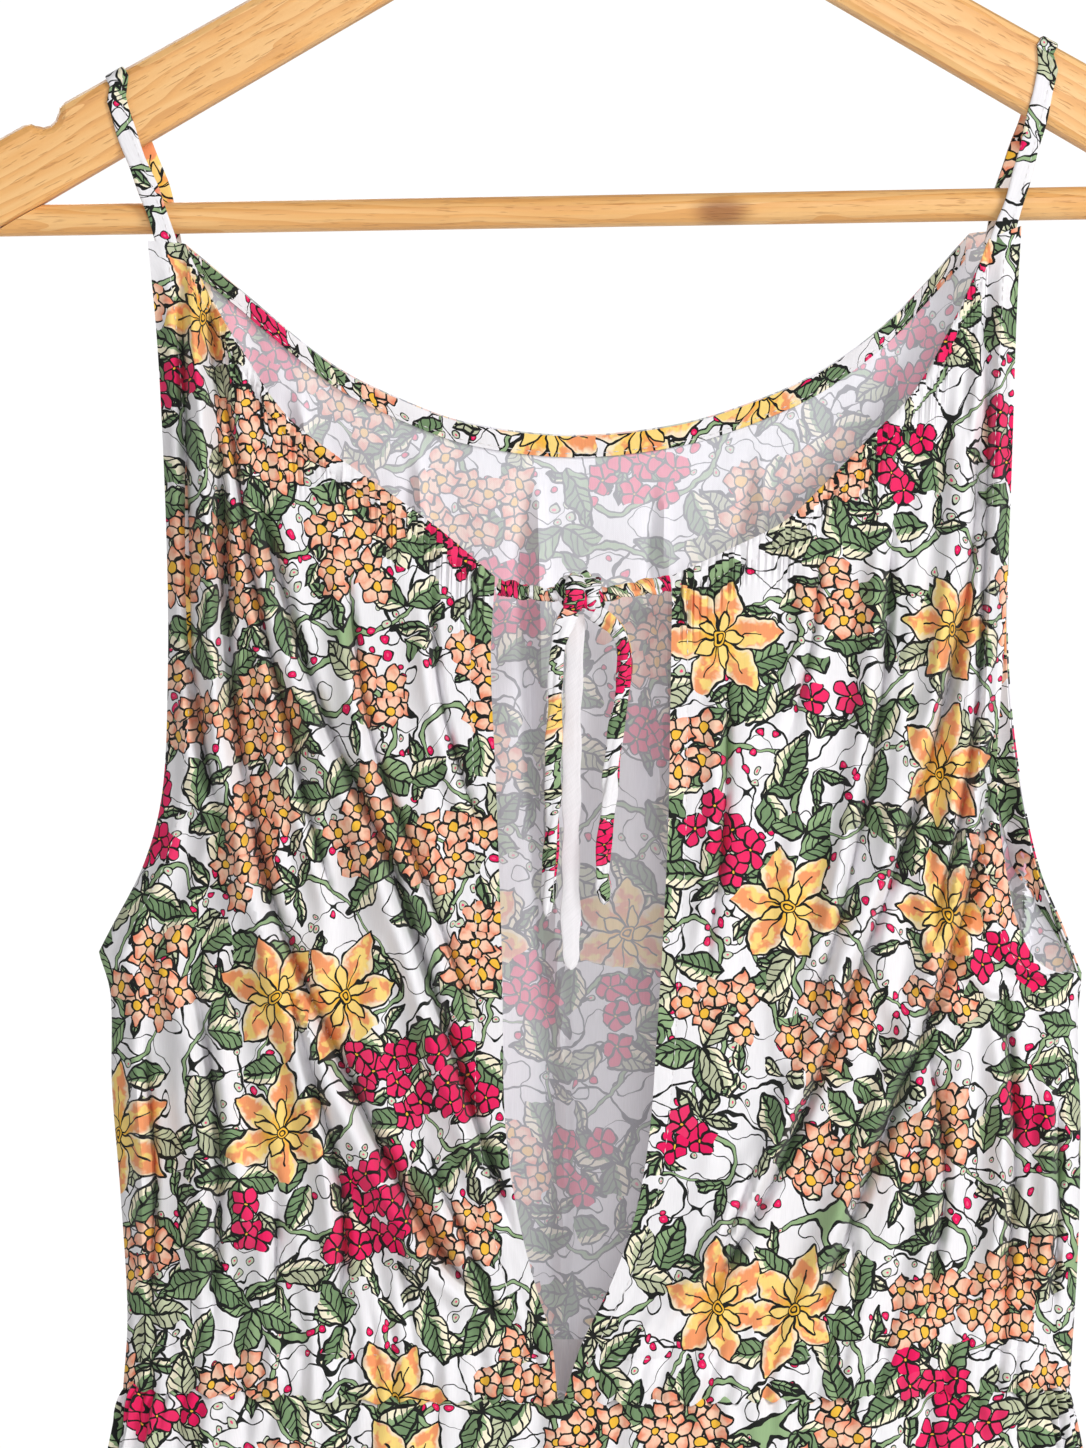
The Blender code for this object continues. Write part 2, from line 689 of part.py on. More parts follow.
def build_strap(name, front, back):
    """A strap from the front panel, over the arm's bevelled top edge, to the back panel."""
    side = 1.0 if front[0][0] > 0 else -1.0
    top_x = front[-1][0]
    lift = GAP + TRIM_WALL / 2
    radius = HANGER_BEVEL + lift
    slope = np.array([math.cos(ARM_TOP_ANGLE), 0.0, -side * math.sin(ARM_TOP_ANGLE)])
    rise = np.array([side * math.sin(ARM_TOP_ANGLE), 0.0, math.cos(ARM_TOP_ANGLE)])
    wood_top = np.array([top_x, 0.0, arm_top_z(top_x)])
    over = []
    for angle in np.linspace(0, math.pi / 2, STRAP_TURN_STATIONS):
        y = HANGER_BEVEL - HANGER_THICKNESS / 2 - radius * math.cos(angle)
        over.append((y, radius * math.sin(angle) - HANGER_BEVEL, angle))
    over += [(-y, up, math.pi - angle) for y, up, angle in reversed(over)]
    stations = []
    shares = np.linspace(0, 1, STRAP_STATIONS)
    front_route = by_length(smooth_curve(front), shares[:-1])
    back_route = by_length(smooth_curve(back), shares[1:])
    for route, y, normal in ((front_route, -1.0, -1.0), (back_route, 1.0, 1.0)):
        heading = unit(np.gradient(route, axis=0))
        for point, ahead in zip(route, heading):
            wide = np.array([abs(ahead[1]), 0.0, -ahead[0] * math.copysign(1.0, ahead[1])])
            middle = np.array([point[0], y * STRAP_STANDOFF, point[1]])
            stations.append((middle, wide, np.array([0.0, normal, 0.0])))
    crossing = []
    for y, up, angle in over:
        middle = wood_top + rise * up + np.array([0.0, y, 0.0])
        normal = rise * math.sin(angle) + np.array([0.0, -math.cos(angle), 0.0])
        crossing.append((middle, slope, normal))
    half = len(front_route)
    stations = stations[:half] + crossing + stations[half:]
    middle = np.array([[s[0] - s[1] * STRAP_WIDTH / 2 for s in stations],
                       [s[0] + s[1] * STRAP_WIDTH / 2 for s in stations]])
    normals = np.array([[s[2] for s in stations]] * 2)
    add_wall(name, middle, normals, TRIM_WALL, "trim_cloth")


def add_tube(name, route, diameter, step, slot, resolution=2):
    """A round tube along a smooth curve through the route, with flat closed ends."""
    dense = smooth_curve(route)
    length = np.linalg.norm(np.diff(dense, axis=0), axis=1).sum()
    count = max(3, round(length / step) + 1)
    points = by_length(dense, np.linspace(0, 1, count))
    curve = bpy.data.curves.new(name, "CURVE")
    curve.dimensions = "3D"
    curve.bevel_depth = diameter / 2 * MM
    curve.bevel_resolution = resolution
    curve.use_fill_caps = True
    spline = curve.splines.new("POLY")
    spline.points.add(count - 1)
    for slot_point, point in zip(spline.points, points):
        slot_point.co = (*(float(c) * MM for c in point), 1.0)
    thing = bpy.data.objects.new(name, curve)
    curve.materials.append(finish(slot))
    bpy.context.scene.collection.objects.link(thing)
    return thing


def build_tie():
    """The drawstring's two runs out of the neck, its knot and its hanging ends."""
    step = 9.0
    add_tube("tie_run_left", TIE_RUN_LEFT, NECK_TIE_DIAMETER, step, "trim_cloth")
    add_tube("tie_run_right", TIE_RUN_RIGHT, NECK_TIE_DIAMETER, step, "trim_cloth")
    add_tube("tie_end_left", TIE_END_LEFT, END_TIE_DIAMETER, step, "trim_cloth")
    add_tube("tie_end_back", TIE_END_BACK, END_TIE_DIAMETER, step, "trim_cloth")
    add_tube("tie_end_right", TIE_END_RIGHT, END_TIE_DIAMETER, step, "trim_cloth")
    body = bmesh.new()
    bmesh.ops.create_icosphere(body, subdivisions=2, radius=0.5)
    points = [v.co.copy() for v in body.verts]
    faces = [[v.index for v in face.verts] for face in body.faces]
    body.free()
    size, centre = np.array(KNOT_SIZE), np.array(KNOT_CENTRE)
    add_mesh("tie_knot", [np.array(p) * size + centre for p in points], faces, "trim_cloth")


def line_point(apex_z, angle, distance):
    return np.array([distance * math.cos(angle), apex_z - distance * math.sin(angle)])


def hanger_outline():
    """The right half of the flat body's outline, from the crown round the arm to the arch under it."""
    points = []
    crown_z = ARM_TOP_APEX_Z - CROWN_RADIUS / math.cos(ARM_TOP_ANGLE)
    for angle in np.linspace(ARM_TOP_ANGLE / 7, ARM_TOP_ANGLE, 4):
        points.append((CROWN_RADIUS * math.sin(angle), crown_z + CROWN_RADIUS * math.cos(angle)))
    along = np.array([math.cos(ARM_TOP_ANGLE), -math.sin(ARM_TOP_ANGLE)])
    rise = np.array([math.sin(ARM_TOP_ANGLE), math.cos(ARM_TOP_ANGLE)])
    notch = line_point(ARM_TOP_APEX_Z, ARM_TOP_ANGLE, NOTCH_FROM_CENTRE / math.cos(ARM_TOP_ANGLE))
    sink = NOTCH_RADIUS - NOTCH_DEPTH
    spread = math.acos(sink / NOTCH_RADIUS)
    for angle in np.linspace(-spread, spread, 7):
        low = NOTCH_RADIUS * (along * math.sin(angle) - rise * math.cos(angle))
        points.append(tuple(notch + low + rise * sink))
    top_end = line_point(ARM_TOP_APEX_Z, ARM_TOP_ANGLE, (ARM_REACH - 12) / math.cos(ARM_TOP_ANGLE))
    under_end = line_point(ARM_UNDER_APEX_Z, ARM_UNDER_ANGLE, (ARM_REACH - 26) / math.cos(ARM_UNDER_ANGLE))
    middle = (top_end + under_end) / 2
    spoke = top_end - middle
    ahead = np.array([spoke[1], -spoke[0]])
    for angle in np.linspace(0, math.pi, 9):
        points.append(tuple(middle + spoke * math.cos(angle) + ahead * math.sin(angle)))
    arch_z = ARM_UNDER_APEX_Z - ARCH_RADIUS / math.cos(ARM_UNDER_ANGLE)
    for angle in np.linspace(ARM_UNDER_ANGLE, ARM_UNDER_ANGLE / 5, 3):
        points.append((ARCH_RADIUS * math.sin(angle), arch_z + ARCH_RADIUS * math.cos(angle)))
    return points


def build_hanger_body():
    right = hanger_outline()
    outline = right + [(-x, z) for x, z in reversed(right)]
    half = HANGER_THICKNESS / 2
    count = len(outline)
    verts = [(x, -half, z) for x, z in outline] + [(x, half, z) for x, z in outline]
    faces = [tuple(range(count)), tuple(range(2 * count - 1, count - 1, -1))]
    for i in range(count):
        j = (i + 1) % count
        faces.append((i, i + count, j + count, j))
    body = add_mesh("hanger_body", verts, faces, "wood")
    bevel = body.modifiers.new("rounded edges", "BEVEL")
    bevel.width = HANGER_BEVEL * MM
    bevel.segments = 2
    bevel.use_clamp_overlap = False
    bevel.limit_method = "ANGLE"
    bevel.angle_limit = math.radians(60)


def build_bar():
    """The trouser bar, its ends cut to the slope of the arms' undersides."""
    reach = GAP / math.sin(ARM_UNDER_ANGLE)
    verts = []
    for side, height in ((-1, BAR_LEFT_Z), (1, BAR_RIGHT_Z)):
        for k in range(BAR_SIDES):
            angle = 2 * math.pi * k / BAR_SIDES
            y = BAR_DIAMETER / 2 * math.cos(angle)
            z = height + BAR_DIAMETER / 2 * math.sin(angle)
            x = (ARM_UNDER_APEX_Z - z) / math.tan(ARM_UNDER_ANGLE) - reach
            verts.append((side * x, y, z))
    faces = [tuple(range(BAR_SIDES)), tuple(range(2 * BAR_SIDES - 1, BAR_SIDES - 1, -1))]
    for k in range(BAR_SIDES):
        n = (k + 1) % BAR_SIDES
        faces.append((k, k + BAR_SIDES, n + BAR_SIDES, n))
    add_mesh("hanger_bar", verts, faces, "wood")


def build_hook():
    """The wire hook: a stem out of the crown, then an open loop whose inner top is the origin."""
    wire = HOOK_INNER_RADIUS + HOOK_WIRE / 2
    centre = -HOOK_INNER_RADIUS
    crown_z = ARM_TOP_APEX_Z - CROWN_RADIUS / math.cos(ARM_TOP_ANGLE)
    foot = crown_z + CROWN_RADIUS * math.cos(ARM_TOP_ANGLE / 7) + GAP
    route = [(0.0, 0.0, foot), (0.0, 0.0, foot + HOOK_STEM)]
    (lean, rise), (reach, drop) = HOOK_BEND
    route += [(lean, 0.0, foot + rise), (reach, 0.0, -drop)]
    for degrees in range(*HOOK_ARC_DEGREES):
        angle = math.radians(degrees)
        route.append((wire * math.cos(angle), 0.0, centre + wire * math.sin(angle)))
    add_tube("hanger_hook", route, HOOK_WIRE, 5.0, "hook_metal")


def main():
    clear_scene()
    panels = bodice_panels()
    build_bodice(panels)
    build_back_neck_binding(panels["back"])
    build_waist_casing(panels["back"])
    build_armhole_binding("armhole_binding_left", panels["front_left"], panels["back"], 0.0, -1.0)
    build_armhole_binding("armhole_binding_right", panels["front_right"], panels["back"], 1.0, 1.0)
    build_skirt("skirt_front", -1)
    build_skirt("skirt_back", 1)
    build_strap("strap_left", STRAP_FRONT_LEFT, STRAP_BACK_LEFT)
    build_strap("strap_right", STRAP_FRONT_RIGHT, STRAP_BACK_RIGHT)
    build_tie()
    build_hanger_body()
    build_bar()
    build_hook()


main()
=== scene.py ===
"""The looks of a strappy floral mini dress on a flat wooden hanger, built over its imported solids.

Tables and sizes are in millimetres and meshes are in metres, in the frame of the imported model: +Z up, the front
towards -Y, and the origin at the inner top of the hanger's hook.
"""

import logging
import math
from collections.abc import Callable, Sequence
from dataclasses import dataclass, field
from enum import Enum

import bmesh  # noqa: E402
import bpy  # noqa: E402
import numpy as np  # noqa: E402
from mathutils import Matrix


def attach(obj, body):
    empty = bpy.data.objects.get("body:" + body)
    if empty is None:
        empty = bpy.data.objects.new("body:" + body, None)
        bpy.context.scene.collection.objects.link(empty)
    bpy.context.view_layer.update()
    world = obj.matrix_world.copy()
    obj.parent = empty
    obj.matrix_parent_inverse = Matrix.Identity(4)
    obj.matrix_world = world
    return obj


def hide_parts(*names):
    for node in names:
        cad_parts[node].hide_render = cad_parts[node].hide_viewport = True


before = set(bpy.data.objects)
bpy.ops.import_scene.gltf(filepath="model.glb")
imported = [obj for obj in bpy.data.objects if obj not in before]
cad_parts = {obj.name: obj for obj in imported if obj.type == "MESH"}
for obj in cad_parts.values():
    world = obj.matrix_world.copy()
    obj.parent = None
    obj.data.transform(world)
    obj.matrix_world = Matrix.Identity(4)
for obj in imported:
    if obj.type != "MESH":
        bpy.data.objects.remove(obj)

MM = 0.001
LOG = logging.getLogger("mini dress")
Array = np.ndarray
Piece = bpy.types.Object
Socket = bpy.types.NodeSocket
Pair = tuple[float, float]
Point = tuple[float, float, float]
Row = tuple[float, ...]
Tint = tuple[float, float, float, float]


def colour(red: float, green: float, blue: float) -> Tint:
    """A shader colour from display values of 0 to 255.

    Args:
        red, green, blue: the display values.

    Returns:
        The linear colour with full alpha.
    """
    parts = [value / 255 for value in (red, green, blue)]
    linear = [p / 12.92 if p <= 0.04045 else ((p + 0.055) / 1.055) ** 2.4 for p in parts]
    return (*linear, 1.0)


class Ink(Enum):
    """The print's colours."""

    GROUND = colour(241, 239, 242)
    LINE = colour(20, 22, 20)
    LEAF = colour(150, 178, 132)
    LEAF_DARK = colour(96, 126, 88)
    CREAM = colour(248, 240, 212)
    YELLOW = colour(252, 218, 128)
    GOLD = colour(246, 192, 62)
    PEACH = colour(243, 156, 104)
    PALE = colour(253, 240, 210)
    SALMON = colour(238, 138, 104)
    SALMON_PALE = colour(251, 208, 180)
    MAGENTA = colour(236, 8, 92)
    PINK = colour(242, 84, 128)
    BUD = colour(204, 214, 188)
    FADED = colour(226, 226, 234)


class Side(Enum):
    """The two faces of a sheet of cloth, as material places."""

    RIGHT = 0
    WRONG = 1


class Graph:
    """Adds shader nodes to a tree and joins them."""

    def __init__(self, tree: bpy.types.NodeTree) -> None:
        """Keeps the tree that the nodes go into."""
        self.tree = tree

    def node(self, kind: str, **settings: object) -> bpy.types.Node:
        """A new node of a kind, with its settings.

        Args:
            kind: its type.
            settings: its properties.

        Returns:
            The node.
        """
        made = self.tree.nodes.new(kind)
        for key, value in settings.items():
            setattr(made, key, value)
        return made

    def feed(self, socket: Socket, value: object) -> None:
        """Joins a socket to another one, or sets its value.

        Args:
            socket: an input.
            value: a socket or a plain value.
        """
        if isinstance(value, Socket):
            self.tree.links.new(value, socket)
        else:
            socket.default_value = value

    def math(self, operation: str, *values: object, clamp: bool = False) -> Socket:
        """The result of a maths node.

        Args:
            operation: the node's operation.
            values: sockets or numbers for its inputs.
            clamp: whether the result is kept within 0 and 1.

        Returns:
            The output socket.
        """
        made = self.node("ShaderNodeMath", operation=operation, use_clamp=clamp)
        for socket, value in zip(made.inputs, values):
            self.feed(socket, value)
        return made.outputs[0]

    def times(self, one: object, other: object) -> Socket:
        """The product of two numbers."""
        return self.math("MULTIPLY", one, other)

    def fit(self, value: object, factor: object, offset: object) -> Socket:
        """A number times a factor, plus an offset."""
        return self.math("MULTIPLY_ADD", value, factor, offset)

    def below(self, value: object, limit: object) -> Socket:
        """1 where a number is below a limit, and 0 elsewhere."""
        return self.math("LESS_THAN", value, limit)

    def above(self, value: object, limit: object) -> Socket:
        """1 where a number is above a limit, and 0 elsewhere."""
        return self.math("GREATER_THAN", value, limit)

    def vector(self, operation: str, *values: object, scale: object = None) -> Socket:
        """The result of a vector maths node.

        Args:
            operation: the node's operation.
            values: sockets or vectors for its inputs.
            scale: the factor of a SCALE.

        Returns:
            The output socket, a number for a length.
        """
        made = self.node("ShaderNodeVectorMath", operation=operation)
        for socket, value in zip(made.inputs, values):
            self.feed(socket, value)
        if scale is not None:
            self.feed(made.inputs["Scale"], scale)
        return made.outputs["Value" if operation in ("LENGTH", "DISTANCE") else "Vector"]

    def mix(self, share: object, low: object, high: object) -> Socket:
        """A colour between two, by a share.

        Args:
            share: 0 for low and 1 for high.
            low, high: sockets or colours.

        Returns:
            The output socket.
        """
        made = self.node("ShaderNodeMix", data_type="RGBA")
        self.feed(made.inputs[0], share)
        self.feed(made.inputs[6], low)
        self.feed(made.inputs[7], high)
        return made.outputs[2]

    def split(self, vector: object) -> list[Socket]:
        """The three numbers of a vector.

        Args:
            vector: a socket or a vector.

        Returns:
            Its three sockets.
        """
        made = self.node("ShaderNodeSeparateXYZ")
        self.feed(made.inputs[0], vector)
        return list(made.outputs)

    def join(self, x: object, y: object, z: object = 0.0) -> Socket:
        """A vector of three numbers.

        Args:
            x, y, z: sockets or numbers.

        Returns:
            The output socket.
        """
        made = self.node("ShaderNodeCombineXYZ")
        for socket, value in zip(made.inputs, (x, y, z)):
            self.feed(socket, value)
        return made.outputs[0]

    def noise(self, vector: object, scale: float, detail: float = 0.0, flat: bool = True) -> bpy.types.Node:
        """A noise texture node.

        Args:
            vector: where it is read.
            scale: waves a unit of the vector.
            detail: its octaves.
            flat: whether it reads only two coordinates.

        Returns:
            The node, with outputs 0 for the number and 1 for the colour.
        """
        made = self.node("ShaderNodeTexNoise", noise_dimensions="2D" if flat else "3D")
        self.feed(made.inputs["Vector"], vector)
        self.wire(made, Scale=scale, Detail=detail)
        return made

    def smooth(self, value: object, low: object, high: object) -> Socket:
        """A number from 0 at low to 1 at high, eased at both.

        Args:
            value: a socket.
            low, high: where it starts and ends.

        Returns:
            The output socket.
        """
        made = self.node("ShaderNodeMapRange", interpolation_type="SMOOTHSTEP")
        for socket, given in zip(made.inputs, (value, low, high, 0.0, 1.0)):
            self.feed(socket, given)
        return made.outputs[0]

    def wire(self, node: bpy.types.Node, **values: object) -> None:
        """Feeds a node's inputs by their names."""
        for key, value in values.items():
            self.feed(node.inputs[key.replace("_", " ")], value)

    def place(self, group: "NodeGroup", **values: object) -> bpy.types.Node:
        """Places a shared group and feeds its inputs by their names.

        Args:
            group: the group.
            values: its inputs, with _ for a space.

        Returns:
            The node.
        """
        made = self.node("ShaderNodeGroup", node_tree=group.tree())
        self.wire(made, **values)
        return made

    def bump(self, shader: bpy.types.Node, height: object, depth: float) -> None:
        """Feeds a shader's normal from a height, its bumps a depth in metres.

        Args:
            shader: a Principled shader.
            height: a socket.
            depth: the bumps' depth in metres.
        """
        made = self.node("ShaderNodeBump")
        self.wire(made, Distance=depth, Height=height)
        self.feed(shader.inputs["Normal"], made.outputs[0])


class NodeGroup:
    """A shader node group with named inputs and outputs, built the first time it is placed."""

    title = ""
    takes: tuple[tuple[str, str], ...] = ()
    gives: tuple[tuple[str, str], ...] = ()

    def tree(self) -> bpy.types.NodeTree:
        """The group's node tree.

        Returns:
            The tree, which every material shares.
        """
        known = bpy.data.node_groups.get(self.title)
        if known is not None:
            return known
        made = bpy.data.node_groups.new(self.title, "ShaderNodeTree")
        for name, kind in self.takes:
            made.interface.new_socket(name=name, in_out="INPUT", socket_type=f"NodeSocket{kind}")
        for name, kind in self.gives:
            made.interface.new_socket(name=name, in_out="OUTPUT", socket_type=f"NodeSocket{kind}")
        graph = Graph(made)
        start, end = graph.node("NodeGroupInput"), graph.node("NodeGroupOutput")
        for name, value in self.fill(graph, start.outputs).items():
            graph.feed(end.inputs[name], value)
        return made

    def fill(self, graph: Graph, given: bpy.types.NodeOutputs) -> dict[str, object]:
        """Makes the nodes between the inputs and the outputs.

        Args:
            graph: the group's graph.
            given: its input sockets.

        Returns:
            A value for each output's name.
        """
        raise NotImplementedError


class MotifScatter(NodeGroup):
    """Where the nearest motif of an uneven lattice stands, and the cloth's coordinates turned round it."""

    title = "motif scatter"
    takes = (("Vector", "Vector"), ("Cell", "Float"), ("Unevenness", "Float"), ("Shift", "Vector"))
    gives = (("Place", "Vector"), ("Centre", "Vector"), ("Chance", "Vector"), ("Distance", "Float"))

    def fill(self, graph: Graph, given: bpy.types.NodeOutputs) -> dict[str, object]:
        """Reads the lattice and turns its cell by a chance of its own."""
        inverse = graph.math("DIVIDE", 1.0, given["Cell"])
        scaled = graph.vector("SCALE", given["Vector"], scale=inverse)
        scaled = graph.vector("ADD", scaled, given["Shift"])
        cells = graph.node("ShaderNodeTexVoronoi", voronoi_dimensions="2D", feature="F1")
        graph.wire(cells, Vector=scaled, Randomness=given["Unevenness"], Scale=1.0)
        away = graph.vector("SUBTRACT", scaled, cells.outputs["Position"])
        away = graph.vector("SCALE", away, scale=given["Cell"])
        centre = graph.vector("SUBTRACT", cells.outputs["Position"], given["Shift"])
        chance = graph.vector("ADD", cells.outputs["Color"], (0.0, 0.0, 0.0))
        turn = graph.node("ShaderNodeVectorRotate", rotation_type="Z_AXIS")
        graph.wire(turn, Vector=away, Angle=graph.times(graph.split(chance)[0], 2 * math.pi))
        return {
            "Place": turn.outputs[0],
            "Centre": graph.vector("SCALE", centre, scale=given["Cell"]),
            "Chance": chance,
            "Distance": graph.vector("LENGTH", away),
        }


class PetalRing(NodeGroup):
    """Pointed petals or leaves round a point, each with a length and a chance of its own."""

    title = "petal ring"
    takes = (
        ("Place", "Vector"), ("Count", "Float"), ("Length", "Float"), ("Half Width", "Float"), ("Bulge", "Float"),
        ("Line", "Float"), ("Seed", "Float"),
    )
    gives = (
        ("Inside", "Float"), ("Line", "Float"), ("Along", "Float"), ("Across", "Float"), ("Reach", "Float"),
        ("Off", "Float"), ("Pick", "Float"),
    )

    def fill(self, graph: Graph, given: bpy.types.NodeOutputs) -> dict[str, object]:
        """Folds the plane into one petal and measures how far a point is inside it."""
        x, y, _ = graph.split(given["Place"])
        radius = graph.vector("LENGTH", given["Place"])
        turn = graph.times(graph.math("ARCTAN2", y, x), graph.math("DIVIDE", given["Count"], 2 * math.pi))
        index = graph.math("ROUND", turn)
        sector = graph.math("DIVIDE", 2 * math.pi, given["Count"])
        angle = graph.times(graph.math("SUBTRACT", turn, index), sector)
        pick = graph.node("ShaderNodeTexWhiteNoise", noise_dimensions="2D")
        wrapped = graph.math("FLOORED_MODULO", index, given["Count"])
        graph.feed(pick.inputs["Vector"], graph.join(wrapped, given["Seed"]))
        chance = pick.outputs["Value"]
        length = graph.times(given["Length"], graph.fit(chance, 0.32, 0.8))
        bend = graph.fit(chance, 0.3, -0.15)
        bent = graph.math("ADD", angle, graph.times(bend, graph.math("DIVIDE", radius, length)))
        reach = graph.times(radius, graph.math("COSINE", bent))
        off = graph.times(radius, graph.math("SINE", bent))
        along = graph.math("DIVIDE", reach, length, clamp=True)
        swell = graph.math("SINE", graph.times(graph.math("POWER", along, given["Bulge"]), math.pi))
        half = graph.times(given["Half Width"], swell)
        inside = graph.math("SUBTRACT", half, graph.math("ABSOLUTE", off))
        inside = graph.fit(given["Line"], 0.4, inside)
        left = graph.math("SUBTRACT", graph.times(sector, 0.5), graph.math("ABSOLUTE", angle))
        wedge = graph.times(radius, graph.math("SINE", left))
        depth = graph.math("MINIMUM", inside, graph.times(wedge, 2.0))
        line = graph.times(given["Line"], graph.fit(along, 0.5, 1.0))
        short = graph.below(along, 0.995)
        return {
            "Inside": graph.times(graph.above(inside, 0.0), short),
            "Line": graph.below(depth, line),
            "Along": along,
            "Across": graph.math("DIVIDE", off, graph.math("MAXIMUM", half, 0.05)),
            "Reach": reach,
            "Off": off,
            "Pick": chance,
        }


@dataclass(frozen=True)
class LeafLayer:
    """One lattice of leaf sprigs: its cell, unevenness, shift, leaves a sprig, leaf size and share left out."""

    cell: float
    unevenness: float
    shift: Point
    count: float
    length: float
    half_width: float
    left_out: float


LEAF_LAYERS = (
    LeafLayer(23.0, 0.8, (6.9, 4.4, 0.0), 5.0, 13.0, 2.3, 0.6),
    LeafLayer(31.0, 0.8, (3.7, 8.1, 0.0), 4.0, 19.0, 5.0, 0.6),
    LeafLayer(29.0, 0.75, (11.3, 2.6, 0.0), 3.0, 20.0, 5.4, 0.54),
)


class FloralPrint(NodeGroup):
    """An all-over print of lilies, flower clusters, leaf sprigs, stems and berries on white.

    The flowers stand on one uneven lattice of chance places, so that no two cover each other, and leaves and stems
    fill the ground between them.
    """

    title = "floral print"
    takes = (("Vector", "Vector"), ("Fade", "Float"))
    gives = (("Color", "Color"), ("Drawn", "Float"))
    FLOWER_CELL = 46.0
    FLOWER_UNEVENNESS = 0.62
    FLOWER_SHIFT = (5.2, 7.9, 0.0)
    LILIES_BELOW = 0.22
    SALMON_BELOW = 0.71
    FLORET_CELL = 12.6
    FLORET_SHIFTS = ((6.2, 9.9, 0.0), (1.7, 4.3, 0.0))
    BERRY_CELL = 6.0

    def leaves(self, graph: Graph, where: object, grain: object, layer: LeafLayer) -> tuple[object, object]:
        """One layer of leaf sprigs.

        Args:
            graph: the group's graph.
            where: the cloth's coordinates in millimetres.
            grain: a fine noise for the brush strokes.
            layer: the lattice and the leaves' sizes.

        Returns:
            The layer's mask and its colour.
        """
        spot = graph.place(
            MotifScatter(), Vector=where, Cell=layer.cell, Unevenness=layer.unevenness, Shift=layer.shift
        )
        chance = graph.split(spot.outputs["Chance"])
        out = graph.place(
            PetalRing(), Place=spot.outputs["Place"], Count=layer.count, Length=layer.length,
            Half_Width=layer.half_width, Bulge=0.82, Line=0.76, Seed=chance[1],
        ).outputs
        kept = graph.above(out["Pick"], layer.left_out)
        mask = graph.times(out["Inside"], kept)
        width = graph.math("ABSOLUTE", out["Off"])
        shade = graph.smooth(graph.math("ADD", out["Across"], grain), -0.35, 0.45)
        shade = graph.fit(shade, 0.6, graph.times(out["Pick"], 0.45))
        paint = graph.mix(shade, Ink.LEAF_DARK.value, Ink.LEAF.value)
        rim = graph.above(graph.math("ADD", out["Across"], grain), 0.38)
        rim = graph.times(rim, graph.below(chance[1], 0.75))
        paint = graph.mix(rim, paint, Ink.CREAM.value)
        wash = graph.times(graph.above(chance[2], 0.8), 0.45)
        paint = graph.mix(wash, paint, Ink.CREAM.value)
        slant = graph.fit(width, -0.85, out["Reach"])
        step = graph.math("FRACT", graph.math("DIVIDE", slant, 2.9))
        vein = graph.below(step, 0.24)
        rib = graph.below(width, 0.4)
        ink = graph.math("MAXIMUM", graph.math("MAXIMUM", vein, rib), out["Line"])
        return mask, graph.mix(ink, paint, Ink.LINE.value)

    def flower_spot(self, graph: Graph, where: object) -> bpy.types.Node:
        """The flower lattice, read at a place on the cloth.

        Args:
            graph: the group's graph.
            where: the place.

        Returns:
            The scatter's node.
        """
        return graph.place(
            MotifScatter(), Vector=where, Cell=self.FLOWER_CELL, Unevenness=self.FLOWER_UNEVENNESS,
            Shift=self.FLOWER_SHIFT,
        )

    def lily(self, graph: Graph, where: object, grain: object) -> tuple[object, object]:
        """The large open flowers: washes of yellow and peach, pale edges and a dotted centre.

        Args:
            graph: the group's graph.
            where: the cloth's coordinates in millimetres.
            grain: a fine noise for the brush strokes.

        Returns:
            The mask and its colour.
        """
        spot = self.flower_spot(graph, where).outputs
        chance = graph.split(spot["Chance"])
        chosen = graph.below(chance[1], self.LILIES_BELOW)
        petal = graph.place(
            PetalRing(), Place=spot["Place"], Count=6.0, Length=23.5, Half_Width=6.2, Bulge=1.0, Line=0.68,
            Seed=chance[2],
        ).outputs
        edge = graph.math("ABSOLUTE", petal["Across"])
        wash = graph.fit(grain, 0.5, graph.noise(where, 0.17, 1.0).outputs[0])
        paint = graph.mix(graph.smooth(wash, 0.41, 0.53), Ink.YELLOW.value, Ink.PEACH.value)
        paint = graph.mix(graph.smooth(petal["Along"], 0.42, 0.12), paint, Ink.GOLD.value)
        blank = graph.smooth(graph.math("ADD", edge, grain), 0.5, 0.88)
        paint = graph.mix(graph.times(blank, 0.85), paint, Ink.PALE.value)
        stroke = graph.below(graph.math("ABSOLUTE", petal["Off"]), 0.24)
        stroke = graph.times(stroke, graph.below(petal["Along"], 0.62))
        paint = graph.mix(graph.math("MAXIMUM", petal["Line"], stroke), paint, Ink.LINE.value)
        thread = graph.place(
            PetalRing(), Place=spot["Place"], Count=5.0, Length=11.0, Half_Width=2.2, Bulge=1.2, Line=0.56,
            Seed=chance[1],
        ).outputs
        inner = graph.mix(thread["Line"], Ink.YELLOW.value, Ink.LINE.value)
        paint = graph.mix(thread["Inside"], paint, inner)
        for size, ink in ((2.6, Ink.LINE), (2.1, Ink.GOLD), (1.5, Ink.LINE), (0.9, Ink.GOLD)):
            paint = graph.mix(graph.below(spot["Distance"], size), paint, ink.value)
        return graph.times(chosen, petal["Inside"]), paint

